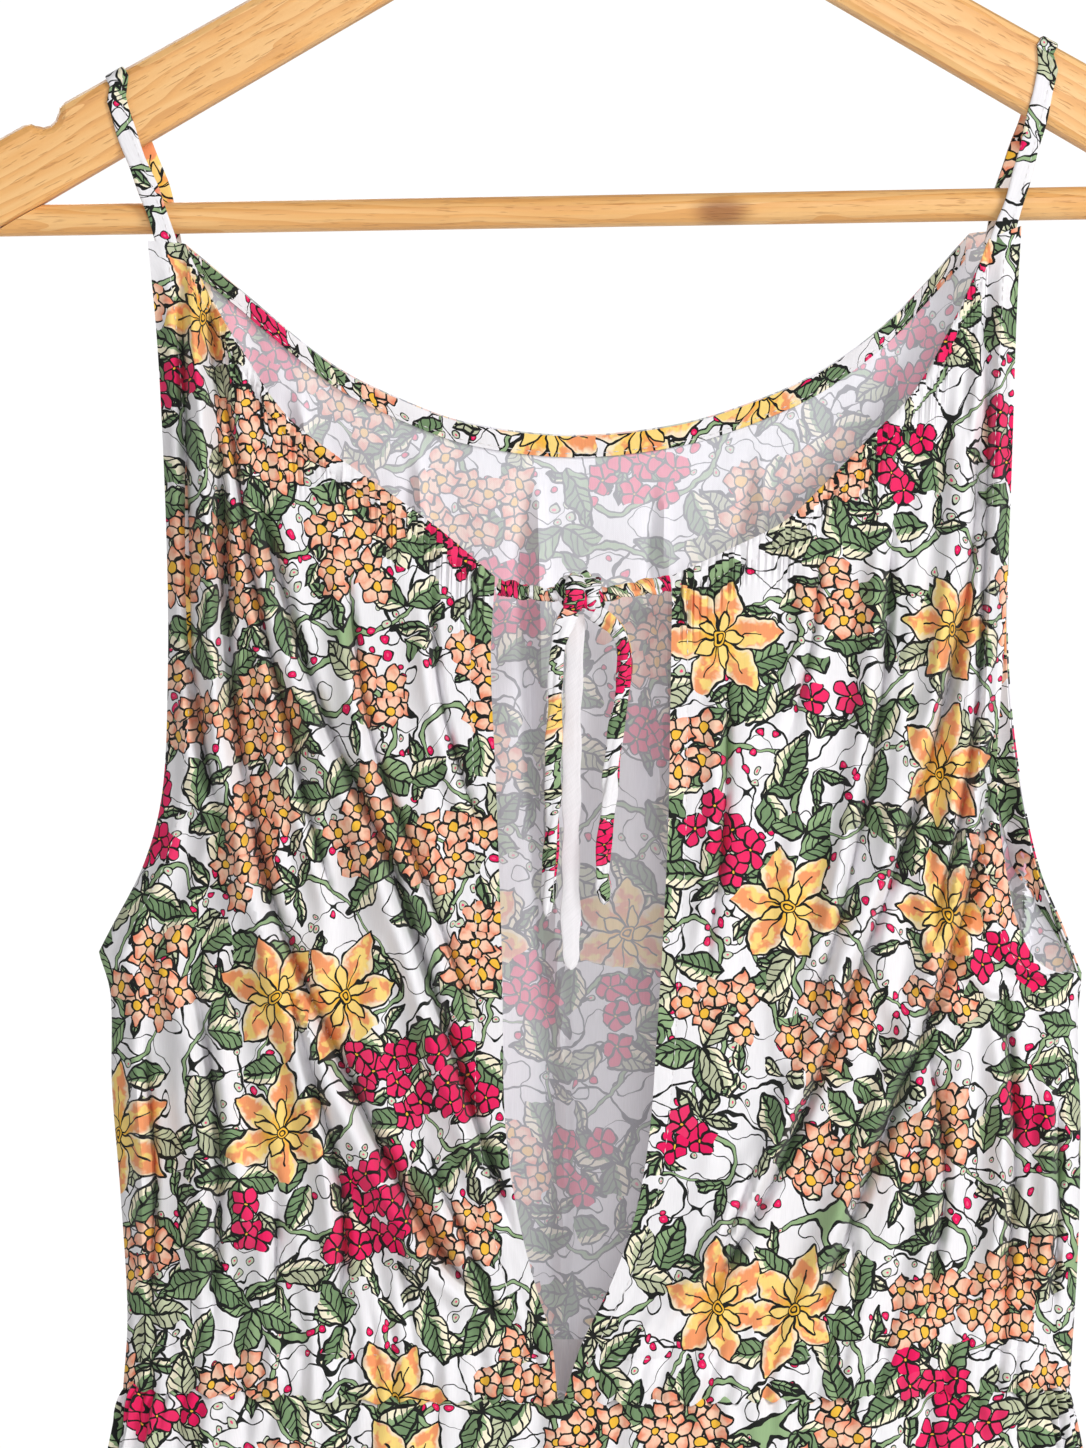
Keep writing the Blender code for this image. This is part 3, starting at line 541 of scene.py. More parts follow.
    def florets(self, graph: Graph, where: object, grain: object, shift: Point) -> tuple[object, object]:
        """One of the two overlapping layers of small flowers that make a cluster, salmon or magenta.

        Args:
            graph: the group's graph.
            where: the cloth's coordinates in millimetres.
            grain: a fine noise for the petals' washes.
            shift: the layer's place on its lattice.

        Returns:
            The mask and its colour.
        """
        floret = graph.place(MotifScatter(), Vector=where, Cell=self.FLORET_CELL, Unevenness=0.6, Shift=shift).outputs
        chance = graph.split(floret["Chance"])
        host = self.flower_spot(graph, floret["Centre"]).outputs
        kind = graph.split(host["Chance"])
        salmon = graph.below(kind[1], self.SALMON_BELOW)
        magenta = graph.math("SUBTRACT", 1.0, salmon)
        flower = graph.above(kind[1], self.LILIES_BELOW)
        oval = graph.vector("LENGTH", graph.vector("MULTIPLY", host["Place"], (1.15, 0.78, 0.0)))
        oval = graph.fit(graph.times(magenta, chance[0]), 7.0, oval)
        limit = graph.fit(kind[2], 5.5, graph.fit(magenta, 0.5, 12.3))
        inside = graph.times(flower, graph.below(oval, limit))
        petal = graph.place(
            PetalRing(), Place=floret["Place"], Count=5.0, Line=0.64, Seed=chance[1],
            Length=graph.fit(magenta, -0.9, 7.3),
            Half_Width=graph.fit(magenta, -0.2, 2.7),
            Bulge=graph.fit(magenta, 0.5, 0.9),
        ).outputs
        tip = graph.smooth(graph.math("ADD", petal["Along"], grain), 0.3, 0.95)
        warm = graph.mix(tip, Ink.SALMON_PALE.value, Ink.SALMON.value)
        bright = graph.mix(graph.times(chance[2], 0.35), Ink.MAGENTA.value, Ink.PINK.value)
        paint = graph.mix(salmon, bright, warm)
        heart = graph.below(floret["Distance"], graph.fit(salmon, 1.1, 0.4))
        ring = graph.below(floret["Distance"], graph.fit(salmon, 1.3, 0.75))
        paint = graph.mix(graph.math("MAXIMUM", petal["Line"], ring), paint, Ink.LINE.value)
        paint = graph.mix(heart, paint, Ink.GOLD.value)
        return graph.times(inside, petal["Inside"]), paint

    def berries(self, graph: Graph, where: object) -> tuple[object, object]:
        """Small round berries and green buds in loose groups.

        Args:
            graph: the group's graph.
            where: the cloth's coordinates in millimetres.

        Returns:
            The mask and its colour.
        """
        berry = graph.place(
            MotifScatter(), Vector=where, Cell=self.BERRY_CELL, Unevenness=0.75, Shift=(9.1, 0.4, 0.0)
        ).outputs
        chance = graph.split(berry["Chance"])
        crowd = graph.split(graph.noise(berry["Centre"], 0.06).outputs[1])
        chosen = graph.above(graph.math("MAXIMUM", crowd[0], crowd[1]), 0.64)
        size = graph.fit(chance[1], 0.6, 1.2)
        inside = graph.below(berry["Distance"], size)
        line = graph.above(berry["Distance"], graph.math("SUBTRACT", size, 0.42))
        paint = graph.mix(graph.above(crowd[1], crowd[0]), Ink.MAGENTA.value, Ink.BUD.value)
        paint = graph.mix(graph.below(berry["Distance"], 0.4), paint, Ink.PINK.value)
        paint = graph.mix(line, paint, Ink.LINE.value)
        return graph.times(chosen, inside), paint

    def stems(self, graph: Graph, where: object) -> tuple[object, object]:
        """Winding green stems and thin drawn tendrils.

        Args:
            graph: the group's graph.
            where: the cloth's coordinates in millimetres.

        Returns:
            The mask and its colour.
        """
        wander = graph.split(graph.noise(where, 0.034).outputs[1])
        stem = graph.math("ABSOLUTE", graph.math("SUBTRACT", wander[0], 0.5))
        tendril = graph.math("ABSOLUTE", graph.math("SUBTRACT", wander[1], 0.53))
        loop = graph.math("ABSOLUTE", graph.math("SUBTRACT", graph.noise(where, 0.075).outputs[0], 0.56))
        curl = graph.math("MAXIMUM", graph.below(tendril, 0.009), graph.below(loop, 0.010))
        band = graph.below(stem, 0.026)
        body = graph.below(stem, 0.014)
        paint = graph.mix(body, Ink.LINE.value, Ink.LEAF.value)
        return graph.math("MAXIMUM", band, curl), paint

    def fill(self, graph: Graph, given: bpy.types.NodeOutputs) -> dict[str, object]:
        """Lays stems, berries, leaves, clusters and lilies over the ground."""
        flat = graph.vector("SCALE", given["Vector"], scale=1 / MM)
        wobble = graph.noise(flat, 0.16, 1.0).outputs[1]
        wobble = graph.vector("SUBTRACT", wobble, (0.5, 0.5, 0.5))
        x, y, _ = graph.split(graph.vector("ADD", flat, graph.vector("SCALE", wobble, scale=3.4)))
        where = graph.join(x, y)
        grain = graph.fit(graph.noise(where, 0.55, 1.0).outputs[0], 0.5, -0.25)
        paint: object = Ink.GROUND.value
        drawn: object = 0.0
        layers = [self.stems(graph, where), self.berries(graph, where)]
        layers += [self.leaves(graph, where, grain, layer) for layer in LEAF_LAYERS]
        layers += [self.florets(graph, where, grain, shift) for shift in self.FLORET_SHIFTS]
        layers.append(self.lily(graph, where, grain))
        for mask, over in layers:
            paint = graph.mix(mask, paint, over)
            drawn = graph.math("MAXIMUM", drawn, mask)
        return {"Color": graph.mix(given["Fade"], paint, Ink.FADED.value), "Drawn": drawn}


class Weave(NodeGroup):
    """A fine plain weave with uneven threads and faint crumples."""

    title = "plain weave"
    takes = (("Vector", "Vector"), ("Pitch", "Float"))
    gives = (("Tone", "Float"), ("Height", "Float"))

    def fill(self, graph: Graph, given: bpy.types.NodeOutputs) -> dict[str, object]:
        """Crosses two sets of threads and adds slubs and crumples."""
        turns = graph.math("DIVIDE", 2 * math.pi, given["Pitch"])
        x, y, _ = graph.split(graph.vector("SCALE", given["Vector"], scale=turns))
        threads = graph.times(graph.math("SINE", x), graph.math("SINE", y))
        stretched = graph.vector("MULTIPLY", given["Vector"], (2600.0, 160.0, 0.0))
        slub = graph.noise(stretched, 1.0, 2.0).outputs[0]
        crumple = graph.noise(graph.vector("MULTIPLY", given["Vector"], (150.0, 62.0, 0.0)), 1.0, 2.0).outputs[0]
        height = graph.fit(threads, 0.05, graph.times(slub, 0.1))
        return {"Tone": slub, "Height": graph.fit(crumple, 0.85, height)}


class WoodGrain(NodeGroup):
    """Straight wood grain along X with wavy year rings, fine fibres and short pores."""

    title = "wood grain"
    takes = (("Vector", "Vector"), ("Ring", "Float"))
    gives = (("Tone", "Float"), ("Pores", "Float"), ("Height", "Float"))

    def fill(self, graph: Graph, given: bpy.types.NodeOutputs) -> dict[str, object]:
        """Stretches noises along the grain and bends the rings with them."""
        slow = graph.noise(graph.vector("MULTIPLY", given["Vector"], (7.0, 42.0, 42.0)), 1.0, 3.0, False).outputs[0]
        fibre = graph.noise(graph.vector("MULTIPLY", given["Vector"], (22.0, 620.0, 620.0)), 1.0, 3.0, False)
        pore = graph.noise(graph.vector("MULTIPLY", given["Vector"], (130.0, 2100.0, 2100.0)), 1.0, 1.0, False)
        _, y, z = graph.split(given["Vector"])
        across = graph.math("ADD", z, graph.times(y, 0.45))
        turns = graph.fit(slow, 6.0, graph.math("DIVIDE", across, given["Ring"]))
        ring = graph.math("POWER", graph.math("FRACT", turns), 2.2)
        tone = graph.fit(ring, 0.5, graph.times(fibre.outputs[0], 0.45))
        tone = graph.fit(slow, 0.3, tone)
        pores = graph.smooth(pore.outputs[0], 0.63, 0.72)
        height = graph.math("SUBTRACT", graph.times(fibre.outputs[0], 0.5), pores)
        return {"Tone": tone, "Pores": pores, "Height": height}


@dataclass(frozen=True)
class Finish:
    """A surface finish, which is one material under its name."""

    name: str

    def material(self) -> bpy.types.Material:
        """The finish's material, made once.

        Returns:
            The material.
        """
        known = bpy.data.materials.get(self.name)
        if known is not None:
            return known
        made = bpy.data.materials.new(self.name)
        made.use_nodes = True
        self.coat(Graph(made.node_tree), made.node_tree.nodes["Principled BSDF"])
        return made

    def coat(self, graph: Graph, shader: bpy.types.Node) -> None:
        """Feeds the material's shader.

        Args:
            graph: the material's graph.
            shader: its Principled shader.
        """
        raise NotImplementedError


@dataclass(frozen=True)
class PrintedCloth(Finish):
    """The printed viscose: how far the print is faded, and how strong a painted glow it gives off, an emission that
    stands in for light coming through the thin cloth from behind.
    """

    fade: float = 0.0
    painted_glow: float = 0.0
    roughness: float = 0.82
    pitch: float = 0.0007
    crumple: float = 0.00035

    def coat(self, graph: Graph, shader: bpy.types.Node) -> None:
        """Lays the print on the weave, with a painted glow where one is given."""
        cloth = graph.node("ShaderNodeUVMap", uv_map="Cloth").outputs[0]
        drawing = graph.place(FloralPrint(), Vector=cloth, Fade=self.fade).outputs
        weave = graph.place(Weave(), Vector=cloth, Pitch=self.pitch).outputs
        shaded = graph.vector("SCALE", drawing["Color"], scale=graph.fit(weave["Tone"], 0.12, 0.94))
        rough = graph.fit(drawing["Drawn"], -0.06, self.roughness)
        graph.wire(shader, Base_Color=shaded, Roughness=rough, Specular_IOR_Level=0.25)
        graph.wire(shader, Sheen_Weight=0.12, Sheen_Roughness=0.5)
        # Painted light: the cloth emits its own colour as a glow, standing in for light that comes through it from
        # behind.
        if self.painted_glow:
            graph.wire(shader, Emission_Color=shaded, Emission_Strength=self.painted_glow)
        graph.bump(shader, weave["Height"], self.crumple)


@dataclass(frozen=True)
class PlainCloth(Finish):
    """Unprinted white cloth, such as a folded edge's wrong side."""

    tint: Tint
    pitch: float = 0.0007
    crumple: float = 0.0003

    def coat(self, graph: Graph, shader: bpy.types.Node) -> None:
        """Tints the weave."""
        cloth = graph.node("ShaderNodeUVMap", uv_map="Cloth").outputs[0]
        weave = graph.place(Weave(), Vector=cloth, Pitch=self.pitch).outputs
        shaded = graph.vector("SCALE", self.tint[:3], scale=graph.fit(weave["Tone"], 0.16, 0.92))
        graph.wire(shader, Base_Color=shaded, Roughness=0.85)
        graph.bump(shader, weave["Height"], self.crumple)


@dataclass(frozen=True)
class Lacquer(Finish):
    """Wood under a satin lacquer; slope is the arms' angle, which the grain follows, and figure its contrast."""

    slope: float = 0.0
    ring: float = 0.006
    pale: Tint = colour(246, 200, 136)
    mid: Tint = colour(235, 172, 98)
    dark: Tint = colour(190, 122, 66)
    stain: Tint = colour(150, 92, 48)
    knot: Point | None = None
    figure: float = 0.5
    pore_depth: float = 0.00012

    def coat(self, graph: Graph, shader: bpy.types.Node) -> None:
        """Mixes the wood's tones by its grain, and stains it round a knot."""
        place = graph.node("ShaderNodeTexCoord").outputs["Object"]
        x, y, z = graph.split(place)
        if self.slope:
            x, z = self.along_arm(graph, x, z)
        grain = graph.place(WoodGrain(), Vector=graph.join(x, y, z), Ring=self.ring).outputs
        tone = grain["Tone"]
        paint = graph.mix(graph.fit(graph.smooth(tone, 0.2, 0.75), 0.7, 0.2), self.pale, self.mid)
        paint = graph.mix(graph.times(graph.smooth(tone, 0.62, 1.05), self.figure), paint, self.dark)
        paint = graph.mix(graph.times(grain["Pores"], 0.45), paint, self.dark)
        if self.knot is not None:
            away = graph.vector("SUBTRACT", place, self.knot)
            away = graph.vector("LENGTH", graph.vector("MULTIPLY", away, (0.55, 0.6, 1.0)))
            paint = graph.mix(graph.times(graph.smooth(away, 0.0075, 0.0015), 0.8), paint, self.stain)
        graph.wire(shader, Base_Color=paint, Roughness=graph.fit(tone, 0.14, 0.36))
        graph.wire(shader, Coat_Weight=0.18, Coat_Roughness=0.28)
        graph.bump(shader, grain["Height"], self.pore_depth)

    def along_arm(self, graph: Graph, x: object, z: object) -> tuple[object, object]:
        """Coordinates along and across the nearer sloping arm.

        Args:
            graph: the material's graph.
            x, z: the place in the object's own coordinates.

        Returns:
            The two turned coordinates.
        """
        side = graph.math("ABSOLUTE", x)
        cosine, sine = math.cos(self.slope), math.sin(self.slope)
        along = graph.math("SUBTRACT", graph.times(side, cosine), graph.times(z, sine))
        across = graph.math("ADD", graph.times(side, sine), graph.times(z, cosine))
        apart = graph.times(graph.math("SIGN", x), 0.7)
        return graph.math("ADD", along, apart), across


@dataclass(frozen=True)
class HookMetal(Finish):
    """The polished plated wire of the hook."""

    name: str = "hook plating"
    scuff_depth: float = 0.00002

    def coat(self, graph: Graph, shader: bpy.types.Node) -> None:
        """Hazes and scuffs the plating."""
        place = graph.node("ShaderNodeTexCoord").outputs["Object"]
        scuff = graph.noise(place, 420.0, 4.0, False).outputs[0]
        haze = graph.noise(place, 60.0, 2.0, False).outputs[0]
        paint = graph.mix(haze, colour(196, 197, 200), colour(222, 222, 224))
        graph.wire(shader, Base_Color=paint, Roughness=graph.fit(scuff, 0.22, 0.14), Metallic=1.0)
        graph.bump(shader, scuff, self.scuff_depth)


PRINT = PrintedCloth("print right side")
# The wrong side gets a painted glow, an emission that stands in for light coming through the thin cloth.
WRONG_SIDE = PrintedCloth("print wrong side", fade=0.54, painted_glow=0.13)
WHITE_CLOTH = PlainCloth("white casing cloth", colour(236, 233, 236))
THREAD = PlainCloth("white thread", colour(243, 240, 240), pitch=0.0003)


def smooth_curve(rows: Sequence[Row], samples: int = 24) -> Array:
    """Points of a centripetal Catmull-Rom curve.

    Args:
        rows: two or more points that it goes through.
        samples: points in each stretch.

    Returns:
        The curve's points.
    """
    table = np.asarray(rows, float)
    ends = np.vstack([2 * table[0] - table[1], table, 2 * table[-1] - table[-2]])
    points = []
    for a, b, c, d in zip(ends[:-3], ends[1:-2], ends[2:-1], ends[3:]):
        t0 = 0.0
        t1 = t0 + math.sqrt(np.linalg.norm(b - a))
        t2 = t1 + math.sqrt(np.linalg.norm(c - b))
        t3 = t2 + math.sqrt(np.linalg.norm(d - c))
        for t in np.linspace(t1, t2, samples, endpoint=False):
            ab = (t1 - t) / (t1 - t0) * a + (t - t0) / (t1 - t0) * b
            bc = (t2 - t) / (t2 - t1) * b + (t - t1) / (t2 - t1) * c
            cd = (t3 - t) / (t3 - t2) * c + (t - t2) / (t3 - t2) * d
            abc = (t2 - t) / (t2 - t0) * ab + (t - t0) / (t2 - t0) * bc
            bcd = (t3 - t) / (t3 - t1) * bc + (t - t1) / (t3 - t1) * cd
            points.append((t2 - t) / (t2 - t1) * abc + (t - t1) / (t2 - t1) * bcd)
    points.append(table[-1])
    return np.array(points)


def lengths_along(points: Array) -> Array:
    """The length of a line of points up to each of them."""
    return np.concatenate([[0.0], np.cumsum(np.linalg.norm(np.diff(points, axis=0), axis=-1))])


def by_length(points: Array, share: Array) -> Array:
    """The points at some shares of a dense curve's length.

    Args:
        points: the curve.
        share: shares of its length.

    Returns:
        A point for each share.
    """
    length = lengths_along(points)
    at = np.clip(share, 0.0, 1.0) * length[-1]
    return np.stack([np.interp(at, length, points[:, k]) for k in range(points.shape[1])], axis=-1)


def curve_length(points: Array) -> float:
    """The length of a line of points."""
    return float(np.linalg.norm(np.diff(points, axis=0), axis=1).sum())


def unit(vectors: Array) -> Array:
    """The vectors at length one."""
    return vectors / np.maximum(np.linalg.norm(vectors, axis=-1, keepdims=True), 1e-12)


def ease(value: Array) -> Array:
    """0 to 1 with flat ends."""
    value = np.clip(value, 0.0, 1.0)
    return value * value * (3.0 - 2.0 * value)


def bell(distance: Array, width: float) -> Array:
    """A soft ridge of height one."""
    return np.exp(-((distance / width) ** 2))


class MeshParts:
    """Gathers points, faces and cloth coordinates of one piece, in millimetres, and makes its mesh."""

    def __init__(self) -> None:
        """Starts with nothing."""
        self.points: list[Array] = []
        self.uv: list[Array] = []
        self.faces: list[tuple[int, ...]] = []
        self.sides: list[int] = []
        self.count = 0

    def add(self, points: Array, uv: Array, faces: Sequence[Sequence[int]], sides: Sequence[int]) -> None:
        """Adds faces on new points.

        Args:
            points: the new points.
            uv: each point's place on the flat cloth.
            faces: each face's points, counted from the first new one.
            sides: each face's material place.
        """
        self.points.append(points.reshape(-1, 3))
        self.uv.append(uv.reshape(-1, 2))
        self.faces += [tuple(int(i) + self.count for i in face) for face in faces]
        self.sides += list(sides)
        self.count += len(self.points[-1])

    def add_shell(self, points: Array, normals: Array, out: object, inward: object, uv: Array) -> None:
        """Adds a closed thin shell over a grid of points.

        Args:
            points: the middle of the cloth, rows by columns.
            normals: its outward directions.
            out: how far its right side stands out from the middle.
            inward: how far its wrong side stands in.
            uv: each point's place on the flat cloth.
        """
        rows, columns = points.shape[:2]
        outer = points + normals * np.broadcast_to(out, (rows, columns))[..., None]
        inner = points - normals * np.broadcast_to(inward, (rows, columns))[..., None]
        size = rows * columns
        index = np.arange(size).reshape(rows, columns)
        a, b = index[:-1, :-1].ravel(), index[:-1, 1:].ravel()
        d, e = index[1:, :-1].ravel(), index[1:, 1:].ravel()
        right = np.stack([a, b, e, d], axis=1)
        wrong = np.stack([a, d, e, b], axis=1) + size
        rims = [index[0], index[-1, ::-1], index[::-1, 0], index[:, -1]]
        rim = np.concatenate([np.stack([r[1:], r[:-1], r[:-1] + size, r[1:] + size], axis=1) for r in rims])
        faces = np.concatenate([right, rim, wrong]).tolist()
        sides = [Side.RIGHT.value] * (len(right) + len(rim)) + [Side.WRONG.value] * len(wrong)
        self.add(np.stack([outer, inner]), np.stack([uv, uv]), faces, sides)

    def add_sweep(self, rings: Array, uv: Array) -> None:
        """Adds a closed tube from rings of points, with capped ends.

        Args:
            rings: rings by points round, by three.
            uv: each point's place on the flat cloth.
        """
        count, around = rings.shape[:2]
        index = np.arange(count * around).reshape(count, around)
        after = np.roll(index, -1, axis=1)
        quads = np.stack([index[:-1], after[:-1], after[1:], index[1:]], axis=-1).reshape(-1, 4).tolist()
        caps = [index[0][::-1].tolist(), index[-1].tolist()]
        self.add(rings, uv, quads + caps, [Side.RIGHT.value] * (len(quads) + 2))

    def build(self, name: str, finishes: Sequence[bpy.types.Material], sharp: float = 50.0) -> Piece:
        """Makes the object.

        Args:
            name: the piece's name.
            finishes: a material for each place.
            sharp: the angle past which an edge stays sharp, in degrees.

        Returns:
            The new object, in metres.
        """
        mesh = bpy.data.meshes.new(name)
        points = np.concatenate(self.points) * MM
        mesh.from_pydata(points.tolist(), [], self.faces)
        for finish in finishes:
            mesh.materials.append(finish)
        mesh.polygons.foreach_set("material_index", self.sides)
        layer = mesh.uv_layers.new(name="Cloth")
        corners = np.zeros(len(mesh.loops), np.int32)
        mesh.loops.foreach_get("vertex_index", corners)
        layer.data.foreach_set("uv", (np.concatenate(self.uv) * MM)[corners].astype(np.float32).ravel())
        body = bmesh.new()
        body.from_mesh(mesh)
        bmesh.ops.recalc_face_normals(body, faces=body.faces)
        body.to_mesh(mesh)
        body.free()
        mesh.shade_smooth()
        mesh.set_sharp_from_angle(angle=math.radians(sharp))
        thing = bpy.data.objects.new(name, mesh)
        bpy.context.scene.collection.objects.link(thing)
        return thing


# The print's coordinates: rows and columns either way that even them out, rounds of that down the rows, and the most
# that a fold narrower than those columns takes up of its width
CALM_ROWS = 14
CALM_COLUMNS = 8
CALM_ROUNDS = 3
MOST_FOLDED = 0.4


def calm_grid(values: Array, reach: int, axis: int) -> Array:
    """A moving average of a grid along one axis.

    Args:
        values: the grid.
        reach: places either way.
        axis: the axis.

    Returns:
        The evened grid.
    """
    widths = [(reach, reach) if index == axis else (0, 0) for index in range(values.ndim)]
    padded = np.pad(values, widths, mode="reflect", reflect_type="odd")
    places = range(values.shape[axis])
    shifted = (np.take(padded, np.array(places) + step, axis) for step in range(2 * reach + 1))
    return sum(shifted) / (2 * reach + 1)


def extra_length(points: Array) -> tuple[Array, Array]:
    """The length of each step along the rows seen from the front, and what its depth adds to that.

    Args:
        points: a grid of cloth, rows by columns.

    Returns:
        The two lengths of each step.
    """
    steps = np.diff(points, axis=1)
    across = np.linalg.norm(steps[..., [0, 2]], axis=-1)
    return across, np.linalg.norm(steps, axis=-1) - across


def flat_grid(points: Array, start: int, shift: Pair, reach: int = CALM_COLUMNS) -> Array:
    """Where a grid of cloth lies in its print: its x and z, and what its folds take up along each row.

    Args:
        points: the middle of the cloth, rows by columns.
        start: the column that the folded cloth is counted from.
        shift: the place in the print.
        reach: how many columns either way even out the folds.

    Returns:
        Two coordinates for each point, in millimetres.
    """
    calm = calm_grid(points, reach, 1)
    across, folded = extra_length(points)
    _, bent = extra_length(calm)
    taken = np.maximum(bent, np.minimum(folded, MOST_FOLDED * across))
    s = np.concatenate([np.zeros((len(points), 1)), np.cumsum(taken, axis=1)], axis=1)
    s = s - s[:, start : start + 1]
    for _ in range(CALM_ROUNDS):
        s = calm_grid(s, CALM_ROWS, 0)
    return np.stack([calm[..., 0] + s + shift[0], points[..., 2] + shift[1]], axis=-1)


class Stitching:
    """Rows of short raised thread stitches, joined into one piece."""

    def __init__(self, length: float = 2.3, pitch: float = 3.3, width: float = 0.42) -> None:
        """Keeps the stitches' length, their step and the thread's width, in millimetres."""
        self.length, self.pitch, self.width = length, pitch, width
        self.parts = MeshParts()

    def add_row(self, points: Array, normals: Array) -> None:
        """Adds one row.

        Args:
            points: the row's line on the cloth.
            normals: the way out of the cloth along it.
        """
        total = curve_length(points)
        count = max(2, int(total / self.pitch))
        half = self.length / 2 / total
        middles = (np.arange(count) + 0.5) / count
        start, end = by_length(points, middles - half), by_length(points, middles + half)
        middle, out = by_length(points, middles), unit(by_length(np.hstack([points, normals]), middles)[:, 3:])
        side = unit(np.cross(end - start, out)) * self.width / 2
        top = middle + out * self.width * 0.55
        for a, b, m, s, t in zip(start, end, middle, side, top):
            corners = np.array([a, m + s, b, m - s, t, m - (t - m) * 0.4])
            faces = [(0, 1, 4), (1, 2, 4), (2, 3, 4), (3, 0, 4), (1, 0, 5), (2, 1, 5), (3, 2, 5), (0, 3, 5)]
            self.parts.add(corners, corners[:, [0, 2]], faces, [Side.RIGHT.value] * len(faces))

    def build(self, name: str) -> Piece:
        """Makes the piece of thread.

        Args:
            name: its name.

        Returns:
            The piece.
        """
        piece = self.parts.build(name, [THREAD.material()], sharp=180.0)
        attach(piece, "root")
        return piece


@dataclass(frozen=True)
class Crease:
    """A long soft fold of the cloth: its line of x and z from the top down, width and height."""

    line: tuple[Pair, ...]
    width: float
    height: float
    trough: float = 1.3
    fade: float = 34.0

    def rise(self, x: Array, z: Array) -> Array:
        """How far the fold lifts the cloth at x, z: a ridge, steeper on its right, with a tight trough there.

        Args:
            x, z: places seen from the front.

        Returns:
            The heights.
        """
        line = smooth_curve(self.line, 8)
        order = np.argsort(line[:, 1])
        heights, across = line[order, 1], line[order, 0]
        lean = np.interp(z, heights, np.gradient(across, heights + np.arange(len(heights)) * 1e-6))
        away = (x - np.interp(z, heights, across)) / np.sqrt(1 + lean**2)
        ends = ease((heights[-1] - z) / self.fade) * ease((z - heights[0]) / self.fade)
        ridge = np.where(away < 0, bell(away, self.width), bell(away, 0.6 * self.width))
        return self.height * ends * (ridge - self.trough * bell(away - 1.2 * self.width, 0.42 * self.width))


class Edge:
    """A panel's edge: smooth stretches one after the other, each with its share of the way along."""

    def __init__(self, stretches: Sequence[Sequence[Row]], shares: Sequence[float] = (1.0,)) -> None:
        """Makes the stretches' curves."""
        self.curves = [smooth_curve(rows) for rows in stretches]
        self.stops = np.concatenate([[0.0], np.cumsum(shares)])

    def at(self, t: Array) -> Array:
        """The x and z at some shares of the way along.

        Args:
            t: the shares.

        Returns:
            A place for each share.
        """
        t = np.clip(np.asarray(t, float), 0.0, 1.0)
        found = np.zeros((*t.shape, 2))
        for curve, low, high in zip(self.curves, self.stops[:-1], self.stops[1:]):
            inside = (t >= low) & (t <= high)
            found[inside] = by_length(curve, (t[inside] - low) / (high - low))
        return found


def row_reader(rows: Sequence[Row]) -> Callable[[Array], list[Array]]:
    """A function that reads a table's columns at any value of its first one.

    Args:
        rows: the table, by its first column.

    Returns:
        The function.
    """
    dense = smooth_curve(rows)
    dense = dense[np.argsort(dense[:, 0])]
    return lambda key: [np.interp(key, dense[:, 0], dense[:, k]) for k in range(1, dense.shape[1])]


# Outlines seen from the front, as in the part's source: x, z
ARMHOLE_SHARE = 0.62
SEAM_HALF_GAP = 0.15
TRIM_WALL = 1.0
HEM_Z = -990.0
HANGER_THICKNESS = 14.0
HANGER_BEVEL = 3.0
ARM_TOP_APEX_Z = -65.3
ARM_TOP_ANGLE = math.radians(29.2)
STRAP_STANDOFF = 7.8
ARMHOLE_LEFT = (
    (-157.4, -216.6), (-154, -252), (-151, -312), (-150.3, -360), (-152.7, -407), (-159.1, -430), (-169.7, -450.5),
    (-174.1, -459),
)
SIDE_LEFT = ((-174.1, -459), (-170.4, -472), (-169.7, -505), (-166.9, -540), (-164.4, -584), (-165.9, -608))
ARMHOLE_RIGHT_BACK = (
    (140.4, -211.5), (138.7, -244), (137, -305), (136.3, -356), (139.4, -393), (146.9, -431), (154.7, -450),
    (160.8, -466),
)
ARMHOLE_RIGHT_FRONT = (
    (140.1, -211.5), (138.4, -244), (136.3, -305), (134, -356), (131.6, -403), (134.6, -431), (138.7, -449.5),
    (144.5, -461), (151.5, -465.5), (160.8, -466),
)
SIDE_RIGHT = ((160.8, -466), (159.5, -482), (160.5, -519), (159.5, -563), (156.7, -608))
STRAP_SEAM_LEFT = ((-157.4, -216.6), (-144.8, -217.6))
STRAP_SEAM_RIGHT = ((129.2, -215.9), (140.1, -211.5))
NECK_LEFT = (
    (-144.8, -217.6), (-136.7, -235), (-126.1, -252.6), (-110.8, -275.5), (-93.5, -289.7), (-74.5, -303),
    (-57.8, -315.2), (-39.1, -331.2),
)
NECK_RIGHT = (
    (129.2, -215.9), (120.7, -236.3), (103.7, -267.6), (86.7, -285.3), (71.4, -301), (59.5, -312.1), (40.8, -321.7),
    (21.1, -330.8),
)
KEYHOLE_LEFT = (
    (-39.1, -331.2), (-40.5, -358), (-38.8, -400), (-36.7, -460), (-35.4, -519), (-30.9, -549.5), (-25.2, -572),
    (-19.9, -590), (-17.8, -611.6),
)
KEYHOLE_RIGHT = (
    (21.1, -330.8), (20.4, -373), (19.4, -420.6), (15.6, -488.6), (12.9, -522.6), (8, -549), (0, -571.2), (-10, -592),
    (-16.2, -611.6),
)
NECK_BACK = (
    (-145.5, -216.6), (-126.1, -232.6), (-94.5, -258.1), (-70.7, -270), (-49.6, -277.5), (-13, -282), (24.1, -278.1),
    (47.9, -271), (71.4, -260.5), (94.9, -243.5), (123.4, -213),
)
WAIST_LEFT = ((-165.9, -608.0), (-90.0, -610.5), (-17.8, -611.6))
WAIST_RIGHT = ((-16.2, -611.6), (70.0, -610.5), (156.7, -608.0))
WAIST_BACK = ((-165.9, -608.0), (-90.0, -610.5), (-17.0, -611.6), (70.0, -610.5), (156.7, -608.0))

